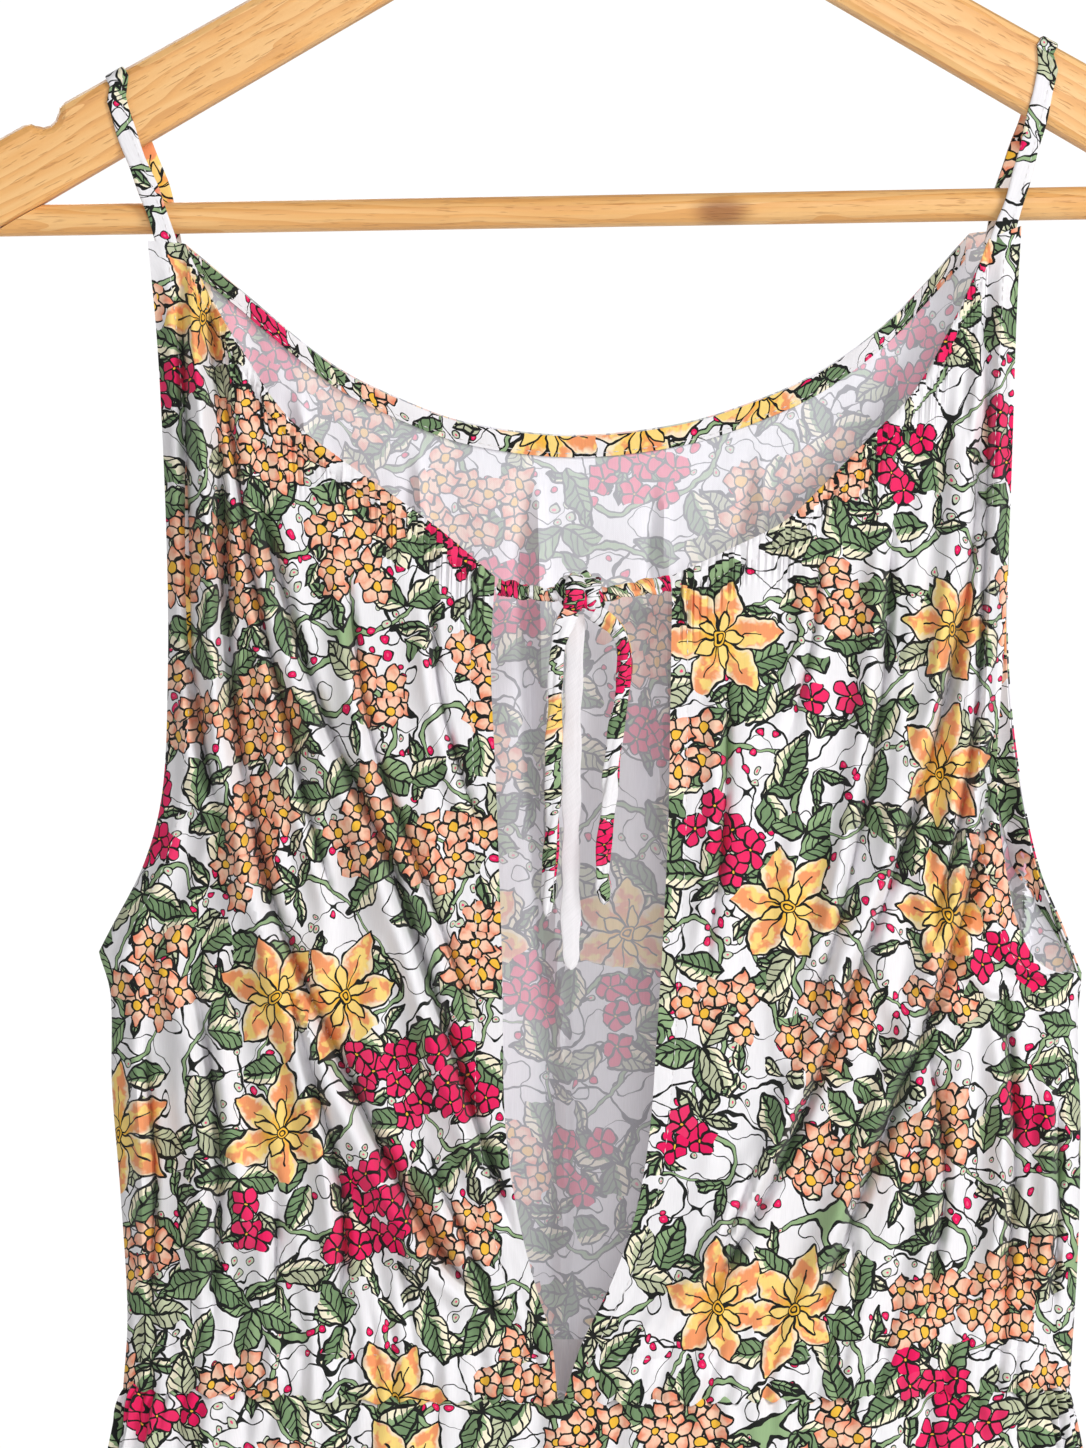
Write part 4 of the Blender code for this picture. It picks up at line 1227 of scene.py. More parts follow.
# How far the cloth stands in front of and behind the side seams: z, front, back, free edge
DEPTHS = (
    (-205, 8.2, 8.2, 7.9), (-225, 8.6, 8.4, 7.9), (-300, 14, 11.5, 7), (-380, 20, 15.5, 5.5), (-430, 24, 18, 3.2),
    (-458, 25, 19, 1.2), (-470, 25, 19, 0.15), (-520, 24, 19, 0.15), (-580, 21.5, 18.5, 0.15), (-625, 20, 18, 0.15),
)

# Long soft folds: share across at the top, share across at the waist, half width as a share, height
FOLDS_FRONT_LEFT = (
    (0.03, 0.07, 0.022, 2.2), (0.09, 0.20, 0.026, 2.8), (0.17, 0.34, 0.030, 3.2), (0.28, 0.47, 0.034, 2.9),
    (0.42, 0.60, 0.032, 2.4), (0.58, 0.74, 0.030, 2), (0.76, 0.87, 0.028, 1.6),
)
FOLDS_FRONT_RIGHT = (
    (0.20, 0.12, 0.028, 1.6), (0.38, 0.25, 0.030, 2.2), (0.54, 0.40, 0.032, 2.5), (0.68, 0.54, 0.030, 2.9),
    (0.80, 0.67, 0.030, 3), (0.89, 0.80, 0.026, 3), (0.96, 0.92, 0.022, 2.4),
)
FOLDS_BACK = (
    (0.05, 0.06, 0.014, 2), (0.12, 0.16, 0.018, 2.4), (0.22, 0.27, 0.020, 1.8), (0.36, 0.39, 0.020, 1.5),
    (0.50, 0.50, 0.022, 1.4), (0.64, 0.61, 0.020, 1.5), (0.77, 0.73, 0.020, 1.9), (0.87, 0.84, 0.018, 2.4),
    (0.95, 0.94, 0.014, 2),
)


# Skirt rings from the waist down: share of the way down, half width, front depth, back depth, wave height
SKIRT_RINGS = (
    (0.00, 161.3, 20.3, 18.2, 1.1), (0.05, 165.5, 23.5, 21, 2.2), (0.25, 180, 34, 31, 3.8), (0.60, 206, 47, 44, 5.6),
    (1.00, 230, 56, 53, 7.2),
)
SKIRT_CENTRE_X = -4.6
SEAM_OVERLAP = 0.5
SKIRT_WAVES = 15
SKIRT_WAVE_DRIFT = 0.9

# Routes of the drawstring, as in the part's source: x, y, z
TIE_RUN_LEFT = ((-38.2, -15.6, -334.5), (-31.0, -17.0, -336.0), (-24.0, -18.0, -337.0), (-17.6, -18.4, -337.4))
TIE_RUN_RIGHT = ((20.3, -15.6, -333.6), (13.0, -17.0, -334.6), (5.0, -18.0, -336.0), (-2.5, -18.4, -337.3))
KNOT_ACROSS = (
    (-18.5, -18.3, -337.6), (-14.0, -19.6, -336.2), (-10.0, -20.4, -337.6), (-6.0, -19.6, -339.0),
    (-2.0, -18.3, -337.6),
)
KNOT_WRAP = (
    (-9.6, -15.0, -333.2), (-10.4, -19.2, -332.2), (-11.4, -22.4, -334.6), (-12.2, -23.0, -338.6),
    (-12.8, -21.4, -342.2), (-13.2, -17.4, -343.4),
)
KNOT_TUCK = (
    (-5.6, -15.8, -334.0), (-6.2, -19.4, -333.2), (-6.4, -21.6, -336.4), (-6.0, -21.4, -340.2), (-5.6, -18.0, -342.6),
)
TIE_END_LEFT = (
    (-13.5, -21.8, -343.1), (-17.2, -23.4, -354), (-18.6, -23.6, -373), (-19.6, -23.9, -394), (-19.4, -24.2, -415),
    (-20.6, -24.4, -432), (-21.6, -24.6, -446.4),
)
TIE_END_BACK = (
    (-12.1, -16.4, -344), (-12, -16.2, -358), (-12.9, -16.6, -385), (-13.2, -17, -415), (-13.4, -17.4, -442),
    (-13.2, -17.6, -464.6),
)
TIE_END_RIGHT = (
    (-5.4, -19.5, -343.3), (1.4, -20.4, -347.8), (4.6, -20.8, -355), (3.6, -21.2, -373), (0.9, -21.8, -394),
    (-1, -22.2, -412), (-2.4, -22.6, -426), (-2, -22.8, -442.4),
)

# Strap routes from under the front's top to the arm, and from the arm down under the back's: x, z
STRAP_FRONT_LEFT = ((-149.6, -222.0), (-155.0, -205.0), (-163.6, -183.0), (-168.6, -166.5))
STRAP_BACK_LEFT = ((-168.6, -166.5), (-160.0, -183.0), (-152.5, -203.0), (-149.2, -222.0))
STRAP_FRONT_RIGHT = ((132.6, -217.5), (137.8, -203.0), (145.6, -174.0), (149.7, -155.5))
STRAP_BACK_RIGHT = ((149.7, -155.5), (143.0, -176.0), (135.4, -198.0), (131.6, -217.5))

# Long soft creases on the fronts and the back, each from the top down
CREASES_LEFT = (
    Crease(((-144, -220), (-138, -298), (-134, -373), (-121, -441), (-95, -502), (-65, -560), (-37, -591)), 5.0, 8.3),
    Crease(((-151, -223), (-149, -298), (-146, -373), (-134, -427)), 4.0, 6.0),
    Crease(((-128, -295), (-105, -373), (-78, -434), (-58, -495), (-36, -560)), 4.4, 7.1),
    Crease(((-95, -319), (-85, -387), (-65, -441), (-48, -489)), 3.5, 4.7),
    Crease(((-65, -325), (-61, -373), (-45, -427)), 3.0, 4.1),
    Crease(((-138, -247), (-126, -325), (-111, -393), (-95, -451)), 3.2, 5.0),
    Crease(((-163, -482), (-159, -536), (-161, -591)), 3.2, 5.0),
    Crease(((-147, -461), (-138, -526), (-141, -591)), 4.2, 6.0),
    Crease(((-124, -441), (-105, -502), (-95, -550), (-98, -591)), 4.0, 5.5),
    Crease(((-71, -516), (-53, -557), (-37, -594)), 3.2, 4.3),
    Crease(((-116, -529), (-118, -591)), 3.0, 4.1),
    Crease(((-76, -543), (-70, -592)), 2.8, 3.8),
)
CREASES_RIGHT = (
    Crease(((134, -217), (133, -288), (128, -373), (116, -441), (88, -519), (61, -591)), 4.5, 7.8),
    Crease(((138, -223), (139, -312), (137, -370)), 3.2, 6.0),
    Crease(((121, -264), (116, -339), (99, -407), (75, -475), (46, -543), (17, -591)), 4.5, 7.1),
    Crease(((92, -305), (88, -373), (75, -441), (61, -489)), 3.7, 5.0),
    Crease(((68, -312), (65, -353), (54, -393)), 3.2, 3.8),
    Crease(((126, -244), (124, -325), (119, -393), (104, -461)), 3.2, 5.5),
    Crease(((100, -475), (109, -536), (100, -591)), 4.2, 6.0),
    Crease(((128, -461), (133, -529), (128, -591)), 4.2, 6.0),
    Crease(((148, -495), (149, -550), (146, -592)), 3.4, 5.2),
    Crease(((51, -516), (31, -563), (10, -592)), 3.4, 4.7),
    Crease(((78, -536), (80, -591)), 3.2, 4.1),
    Crease(((36, -353), (35, -414), (27, -475)), 3.2, 3.2),
)
CREASES_BACK = (
    Crease(((-146, -232), (-138, -330), (-120, -430), (-96, -520), (-84, -592)), 4.5, 6.6),
    Crease(((-150, -330), (-150, -430), (-140, -520), (-142, -590)), 3.5, 5.0),
    Crease(((-112, -262), (-100, -350), (-78, -450), (-60, -590)), 4.0, 5.0),
    Crease(((-70, -282), (-64, -370), (-52, -440)), 3.4, 3.2),
    Crease(((-30, -292), (-26, -400), (-20, -520), (-22, -590)), 4.2, 4.1),
    Crease(((14, -292), (16, -360), (10, -430)), 3.4, 3.1),
    Crease(((48, -284), (44, -380), (34, -480), (30, -590)), 4.0, 4.3),
    Crease(((100, -256), (92, -350), (76, -460), (66, -590)), 4.0, 5.0),
    Crease(((132, -228), (124, -330), (108, -430), (96, -520), (92, -592)), 4.5, 6.6),
    Crease(((137, -340), (138, -430), (132, -520), (134, -590)), 3.5, 5.0),
)

depth_at = row_reader(DEPTHS)
left_at = row_reader([(z, x) for x, z in ARMHOLE_LEFT + SIDE_LEFT[1:]])
right_at = row_reader([(z, x) for x, z in ARMHOLE_RIGHT_BACK + SIDE_RIGHT[1:]])
ring_at = row_reader(SKIRT_RINGS)


def cloth_depth(x: Array, z: Array, facing: float) -> Array:
    """The y of the bodice's cloth.

    Args:
        x, z: the place seen from the front.
        facing: -1 for the front and 1 for the back.

    Returns:
        The depths.
    """
    front, back, edge = depth_at(z)
    full = front if facing < 0 else back
    edge = np.maximum(edge, SEAM_HALF_GAP)
    (left,), (right,) = left_at(z), right_at(z)
    across = np.clip((2 * x - left - right) / (right - left), -1.0, 1.0)
    return facing * (edge + (full - edge) * np.sqrt(1.0 - across**2))


def seam_wave(x: Array) -> Array:
    """How far the gathers lift the waist's seam at x."""
    return 0.8 * np.sin(x / 1.13 + 1.3 * np.sin(x / 9.0)) + 0.5 * np.sin(x / 2.9 + 1.0)


# Rows of points added down the casing of the neck edge
NECK_ROWS = (0.004, 0.009, 0.014, 0.019, 0.024)


@dataclass
class Panel:
    """A bodice panel between four edges: u runs across from the left edge, v runs down from the top.

    Folds are long swells by their shares across at the top and the waist, and calm gives how much of each side's
    width lies flat.
    """

    name: str
    facing: float
    left: Edge
    right: Edge
    top: Edge
    bottom: Edge
    folds: Sequence[Row]
    creases: Sequence[Crease]
    calm: Pair
    grid: tuple[int, int]
    neck: Pair
    neck_waves: float = 0.0
    waist_waves: float = 9.0
    slit: int | None = None
    shift: Pair = (0.0, 0.0)
    half_cloth: float = 0.33
    casing: float = 7.6
    elastic: float = 15.5
    neck_pitch: float = 5.2
    waist_pitch: float = 6.8

    def outline(self, u: Array, v: Array) -> Array:
        """The x and z at u, v, from the four edges.

        Args:
            u, v: shares of the way across and down.

        Returns:
            A place for each.
        """
        u, v = np.broadcast_arrays(np.asarray(u, float), np.asarray(v, float))
        across, down = u[..., None], v[..., None]
        top = [self.top.at(np.array(t)) for t in (0.0, 1.0)]
        low = [self.bottom.at(np.array(t)) for t in (0.0, 1.0)]
        sides = (1 - across) * self.left.at(v) + across * self.right.at(v)
        ends = (1 - down) * self.top.at(u) + down * self.bottom.at(u)
        corners = (1 - down) * ((1 - across) * top[0] + across * top[1])
        return sides + ends - corners - down * ((1 - across) * low[0] + across * low[1])

    def drop(self, u: Array) -> Array:
        """The panel's length from top to waist at u."""
        return np.linalg.norm(self.bottom.at(u) - self.top.at(u), axis=-1)

    def width(self, v: Array) -> Array:
        """The panel's width at v."""
        return np.linalg.norm(self.right.at(v) - self.left.at(v), axis=-1)

    def in_neck(self, u: Array) -> Array:
        """1 along the neckline, and 0 at the strap's seam."""
        return ease((u - self.neck[0]) / 0.03 + 0.5) * ease((self.neck[1] - u) / 0.03 + 0.5)

    def swells(self, u: Array, v: Array) -> Array:
        """Height of the long folds that the part's solids have too.

        Args:
            u, v: shares of the way across and down.

        Returns:
            The heights.
        """
        height = np.zeros(np.broadcast(u, v).shape)
        for top, low, width, rise in self.folds:
            height += rise * np.exp(-(((u - top - (low - top) * v**0.8) / width) ** 2))
        height *= 0.35 + 0.65 * ease(v / 0.35) - 0.45 * ease((v - 0.75) / 0.25)
        height += 0.55 * np.cos(2 * math.pi * self.neck_waves * u) * ease(1 - v / 0.10) * (self.neck_waves > 0)
        return height + np.cos(2 * math.pi * self.waist_waves * u) * ease((v - 0.84) / 0.16)

    def puckers(self, u: Array, v: Array) -> Array:
        """Height of the small gathers at the neck and the waist, and of the casings between their stitches.

        Args:
            u, v: shares of the way across and down.

        Returns:
            The heights.
        """
        drop = self.drop(u)
        top, low = v * drop, (1 - v) * drop
        along = u * self.width(np.array(0.0)) * (2.3 if self.neck_waves else 1.0)
        phase = 2 * math.pi * along / self.neck_pitch + 1.4 * np.sin(along / 9.0) + 0.9 * np.sin(along / 23.0 + 1.0)
        reach = 0.35 + 0.65 * ease(top / self.casing)
        reach = reach * ease(1.0 - (top - self.casing) / (20.0 + 9.0 * np.sin(along / 13.0)))
        bunch = 0.45 + 0.25 * np.sin(along / 7.0) + 0.6 * bell(np.abs(u - (self.slit or 0)), 0.25)
        height = bunch * np.sin(phase) * reach * self.in_neck(u) * (self.neck_waves > 0)
        groove = -0.45 * bell(top - self.casing, 0.9) * self.in_neck(u)
        wide = u * self.width(np.array(1.0))
        beat = 2 * math.pi * wide / self.waist_pitch + 1.7 * np.sin(wide / 12.0) + 1.1 * np.sin(wide / 31.0 + 2.0)
        strength = 0.6 + 0.4 * np.sin(wide / 11.0 + 0.5) * np.sin(wide / 4.7 + 1.1)
        waist = 1.6 * np.sin(beat) * bell(low - 8.0, 24.0) * strength
        waist += 0.9 * np.sin(math.pi * np.clip(low / self.elastic, 0, 1)) - 1.15 * bell(low - self.elastic, 1.7)
        return height + groove + waist

    def points(self, u: Array, v: Array) -> Array:
        """The middle of the cloth at u, v.

        Args:
            u, v: shares of the way across and down.

        Returns:
            A point for each.
        """
        u, v = np.broadcast_arrays(np.asarray(u, float), np.asarray(v, float))
        flat = self.outline(u, v)
        x, z = flat[..., 0], flat[..., 1]
        z = z + seam_wave(x) * ease((v - 0.96) / 0.04)
        height = self.swells(u, v) + self.puckers(u, v)
        height += sum(crease.rise(x, z) for crease in self.creases)
        for side, closed in zip((u, 1 - u), self.calm):
            height = height * ease(side / closed)
        if self.slit is not None:
            away = np.abs(u - self.slit) * self.width(v)
            height = height - 0.3 * bell(away - self.slit_stitch(v), 0.9) * ease((v - 0.03) / 0.02)
        y = cloth_depth(x, z, self.facing) + self.facing * height
        return np.stack([x, y, z], axis=-1)

    def slit_stitch(self, v: Array) -> Array:
        """How far the slit's row of stitches lies from its edge at v."""
        return np.where(self.slit == 1, 8.5 + 2.0 * np.asarray(v, float), 5.8)

    def normals(self, u: Array, v: Array, step: float = 0.003) -> Array:
        """Outward directions at u, v, from points a short step either way.

        Args:
            u, v: shares of the way across and down.
            step: the step.

        Returns:
            A direction for each.
        """
        u, v = np.broadcast_arrays(np.asarray(u, float), np.asarray(v, float))
        across = self.points(np.minimum(u + step, 1), v) - self.points(np.maximum(u - step, 0), v)
        down = self.points(u, np.minimum(v + step, 1)) - self.points(u, np.maximum(v - step, 0))
        return unit(np.cross(across, down) * self.facing)

    def build(self) -> Piece:
        """The panel's cloth, its neck edge filled out where the drawstring lies.

        Returns:
            The piece.
        """
        columns, rows = self.grid
        above = round(rows * ARMHOLE_SHARE)
        upper, lower = np.linspace(0, ARMHOLE_SHARE, above + 1), np.linspace(ARMHOLE_SHARE, 1, rows - above + 1)
        v = np.unique(np.concatenate([upper, lower[1:], NECK_ROWS]))
        u = np.linspace(0, 1, columns + 1)
        u = u - 0.04 * np.sin(2 * math.pi * u) / (2 * math.pi)
        uu, vv = np.meshgrid(u, v)
        points, normals = self.points(uu, vv), self.normals(uu, vv)
        for column, x, seam in ((0, -1.0, self.slit != 0), (-1, 1.0, self.slit != 1)):
            if seam:
                normals[v >= ARMHOLE_SHARE, column] = (x, 0.0, 0.0)
        filled = self.in_neck(uu) if self.neck_waves else 0.0
        puff = np.sin(math.pi * np.clip(vv * self.drop(uu) / self.casing, 0, 1)) * filled
        start = columns if self.slit == 1 else 0 if self.slit == 0 else columns // 2
        uv = flat_grid(points, start, self.shift)
        parts = MeshParts()
        parts.add_shell(points, normals, self.half_cloth + 0.85 * puff, self.half_cloth + 0.6 * puff, uv)
        return parts.build(self.name, [PRINT.material(), WRONG_SIDE.material()])

    def line(self, u: Array, v: Array, lift: float) -> tuple[Array, Array]:
        """A line on the cloth.

        Args:
            u, v: its shares.
            lift: how far outwards of the cloth's middle it lies, below 0 for inside.

        Returns:
            Its points and the directions away from the cloth.
        """
        normals = self.normals(u, v) * math.copysign(1.0, lift)
        return self.points(u, v) + normals * abs(lift), normals


@dataclass
class Bodice:
    """The two fronts with their slit and the back, with stitches along every edge."""

    seam: float = 0.08
    front_grid: tuple[int, int] = (190, 150)
    back_grid: tuple[int, int] = (260, 124)
    panels: dict[str, Panel] = field(default_factory=dict)

    def __post_init__(self) -> None:
        """Makes the three panels' shapes."""
        shares = (ARMHOLE_SHARE, 1 - ARMHOLE_SHARE)
        side_left = Edge((ARMHOLE_LEFT, SIDE_LEFT), shares)
        self.panels["left"] = Panel(
            name="front_left_cloth", facing=-1.0, left=side_left, right=Edge((KEYHOLE_LEFT,)),
            top=Edge((STRAP_SEAM_LEFT, NECK_LEFT), (self.seam, 1 - self.seam)), bottom=Edge((WAIST_LEFT,)),
            folds=FOLDS_FRONT_LEFT, creases=CREASES_LEFT, calm=(0.05, 0.03), grid=self.front_grid,
            neck=(self.seam, 1.1), neck_waves=7.0, slit=1, shift=(-38.0, -300.0),
        )
        self.panels["right"] = Panel(
            name="front_right_cloth", facing=-1.0, left=Edge((KEYHOLE_RIGHT,)),
            right=Edge((ARMHOLE_RIGHT_FRONT, SIDE_RIGHT), shares),
            top=Edge((NECK_RIGHT[::-1], STRAP_SEAM_RIGHT), (1 - self.seam, self.seam)), bottom=Edge((WAIST_RIGHT,)),
            folds=FOLDS_FRONT_RIGHT, creases=CREASES_RIGHT, calm=(0.03, 0.05), grid=self.front_grid,
            neck=(-0.1, 1 - self.seam), neck_waves=7.0, slit=0, shift=(21.0, -331.0),
        )
        seams = (((-157.4, -216.6), (-145.5, -216.6)), ((123.4, -213.0), (140.4, -211.5)))
        self.panels["back"] = Panel(
            name="back_cloth", facing=1.0, left=side_left, right=Edge((ARMHOLE_RIGHT_BACK, SIDE_RIGHT), shares),
            top=Edge((seams[0], NECK_BACK, seams[1]), (self.seam / 2, 1 - self.seam, self.seam / 2)),
            bottom=Edge((WAIST_BACK,)), folds=FOLDS_BACK, creases=CREASES_BACK, calm=(0.03, 0.03),
            grid=self.back_grid, neck=(0.05, 0.95), waist_waves=18.0, shift=(140.0, -90.0),
        )

    def build(self) -> list[Piece]:
        """Makes the cloth and its stitches.

        Returns:
            The pieces.
        """
        made = []
        sheets = (
            ("left", "front_left", (0.165, 0.40), 0.0500, "strap_left_cloth"),
            ("right", "front_right", (0.165, 0.40), 0.0500, "strap_right_cloth"),
            ("back", "back", (0.40, 0.40), 0.1150, "strap_left_cloth"),
        )
        for key, node, flat, area, holder in sheets:
            piece = self.panels[key].build()
            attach(piece, "root")
            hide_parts(node)
            made.append(piece)
        made.append(self.stitches())
        return made

    def stitches(self) -> Piece:
        """The rows of stitches along the necklines, armholes, slit and waist.

        Returns:
            The piece of thread.
        """
        thread = Stitching()
        t = np.linspace(0, 1, 160)
        for key, panel in self.panels.items():
            neck = panel.neck[0] * (1 - t) + panel.neck[1] * t
            neck = np.clip(neck, 0.004, 0.996)
            thread.add_row(*panel.line(neck, panel.casing / panel.drop(neck), 0.5))
            down = 0.02 + (ARMHOLE_SHARE - 0.045) * t
            sides = [0, 1] if key == "back" else [1 - panel.slit]
            for side in sides:
                inset = 6.8 / panel.width(down)
                thread.add_row(*panel.line(inset if side == 0 else 1 - inset, down, 0.42))
            if panel.slit is not None:
                long = 0.035 + 0.93 * t
                away = panel.slit_stitch(long) / panel.width(long)
                thread.add_row(*panel.line(away if panel.slit == 0 else 1 - away, long, 0.36))
            waist = 0.03 + 0.94 * t
            thread.add_row(*panel.line(waist, 1 - panel.elastic / panel.drop(waist), 0.42))
        return thread.build("bodice_stitches")


@dataclass
class Bindings:
    """The bias strips inside the back neck and the armholes, and the elastic's casing inside the waist."""

    bodice: Bodice
    width: float = 7.5
    half_cloth: float = 0.28
    inset: float = 0.95
    casing_height: float = 19.0
    panel_drop: float = 395.0

    def inside(self, panel: Panel, u: Array, v: Array) -> tuple[Array, Array]:
        """Points and directions of a strip on a panel's wrong side."""
        normals = panel.normals(u, v)
        return panel.points(u, v) - normals * self.inset, normals

    def finish(self, parts: MeshParts, name: str, node: str, flat: Pair) -> Piece:
        """Makes a strip's piece.

        Args:
            parts: its mesh.
            name: its name.
            node: the solid that it stands for.
            flat: the size of its cut; not used.

        Returns:
            The piece.
        """
        piece = parts.build(name, [PRINT.material(), PRINT.material()])
        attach(piece, "root")
        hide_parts(node)
        return piece

    def back_neck(self, thread: Stitching) -> Piece:
        """The strip along the back neckline.

        Args:
            thread: the stitches that its row adds to.

        Returns:
            The piece.
        """
        back = self.bodice.panels["back"]
        u = np.linspace(0.045, 0.955, 190)
        drop = back.drop(u)[None]
        rows = np.array([0.5, 2.0, 3.9, 5.8, self.width])[:, None] / drop
        points, normals = self.inside(back, np.broadcast_to(u, rows.shape), rows)
        along = lengths_along(points[0])
        uv = np.stack(np.broadcast_arrays(along[None] + 60.0, rows * drop + 12.0), axis=-1)
        parts = MeshParts()
        puff = np.array([0.0, 0.25, 0.35, 0.3, 0.0])[:, None]
        parts.add_shell(points, normals, self.half_cloth, self.half_cloth + puff, uv)
        thread.add_row(*back.line(u, 6.5 / drop[0], -self.inset - self.half_cloth - 0.3))
        return self.finish(parts, "back_neck_strip", "back_neck_binding", (0.30, 0.0105))

    def armhole_half(self, panel: Panel, side: float, count: int = 70) -> tuple[Array, Array]:
        """The strip on one panel, from the strap to the underarm.

        Args:
            panel: the panel.
            side: 0 or 1, the u of the armhole's edge.
            count: places along it.

        Returns:
            Its points and directions, rows across the strip by places along it.
        """
        v = np.linspace(0.02, ARMHOLE_SHARE, count)
        turn = ease((v / ARMHOLE_SHARE - 0.70) / 0.30) * math.pi / 2
        across = np.linalg.norm(panel.outline(np.ones(v.shape), v) - panel.outline(np.zeros(v.shape), v), axis=-1)
        inward = 1.0 if side == 0 else -1.0
        share = np.linspace(0.0, 1.0, 4)[:, None]
        u = side + inward * (0.3 + (self.width - 0.3) * share) / across * np.where(share > 0, np.cos(turn), 0.0)
        down = v + share * self.width / self.panel_drop * np.sin(turn)
        return self.inside(panel, np.clip(u, 0, 1), down)

    def armhole(self, name: str, node: str, front: str, side: float, outward: float) -> Piece:
        """One armhole's strip, from the front strap round the underarm to the back strap.

        Args:
            name: its name.
            node: the solid that it stands for.
            front: the front panel's key.
            side: 0 or 1, the u of the armhole's edge.
            outward: -1 for the left and 1 for the right.

        Returns:
            The piece.
        """
        front_points, front_normals = self.armhole_half(self.bodice.panels[front], side)
        back_points, back_normals = (part[:, ::-1] for part in self.armhole_half(self.bodice.panels["back"], side))
        underarm = (front_points[:, -1:] + back_points[:, :1]) / 2
        out = np.broadcast_to((outward, 0.0, 0.0), underarm.shape)
        points = np.concatenate([front_points[:, :-1], underarm, back_points[:, 1:]], axis=1)
        normals = np.concatenate([front_normals[:, :-1], out, back_normals[:, 1:]], axis=1)
        along = lengths_along(points[0])
        uv = np.stack(np.broadcast_arrays(along[None] + 300.0 * outward, np.linspace(0, self.width, 4)[:, None]), -1)
        parts = MeshParts()
        parts.add_shell(points, normals, self.half_cloth, self.half_cloth, uv)
        return self.finish(parts, name, node, (0.60, 0.0105))

    def waist(self) -> Piece:
        """The elastic's casing inside the back of the waist.

        Returns:
            The piece.
        """
        back = self.bodice.panels["back"]
        u = np.linspace(0.04, 0.96, 170)
        share = np.linspace(0, 1, 7)[:, None]
        v = 1 - (self.casing_height * (1 - share) + 0.4) / back.drop(u)[None]
        points, normals = self.inside(back, np.broadcast_to(u, v.shape), v)
        uv = flat_grid(points, u.size // 2, (0.0, 0.0))
        puff = 0.5 * np.sin(math.pi * share)
        parts = MeshParts()
        parts.add_shell(points, normals, self.half_cloth, self.half_cloth + puff, uv)
        piece = parts.build("waist_casing_cloth", [WHITE_CLOTH.material(), WHITE_CLOTH.material()])
        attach(piece, "root")
        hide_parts("waist_casing")
        return piece

    def build(self) -> list[Piece]:
        """Makes the strips, the casing and the stitches on them.

        Returns:
            The pieces.
        """
        thread = Stitching()
        made = [
            self.back_neck(thread),
            self.armhole("armhole_strip_left", "armhole_binding_left", "left", 0.0, -1.0),
            self.armhole("armhole_strip_right", "armhole_binding_right", "right", 1.0, 1.0),
            self.waist(),
        ]
        t = np.linspace(0.03, ARMHOLE_SHARE * 0.72, 120)
        for key, side in (("back", 0), ("back", 1), ("left", 0), ("right", 1)):
            panel = self.bodice.panels[key]
            away = 6.6 / panel.width(t)
            thread.add_row(*panel.line(away if side == 0 else 1 - away, t, -self.inset - 0.4))
        back = self.bodice.panels["back"]
        u = np.linspace(0.05, 0.95, 200)
        thread.add_row(*back.line(u, 1 - (self.casing_height - 1.6) / back.drop(u), -self.inset - 0.5))
        return [*made, thread.build("inside_stitches")]


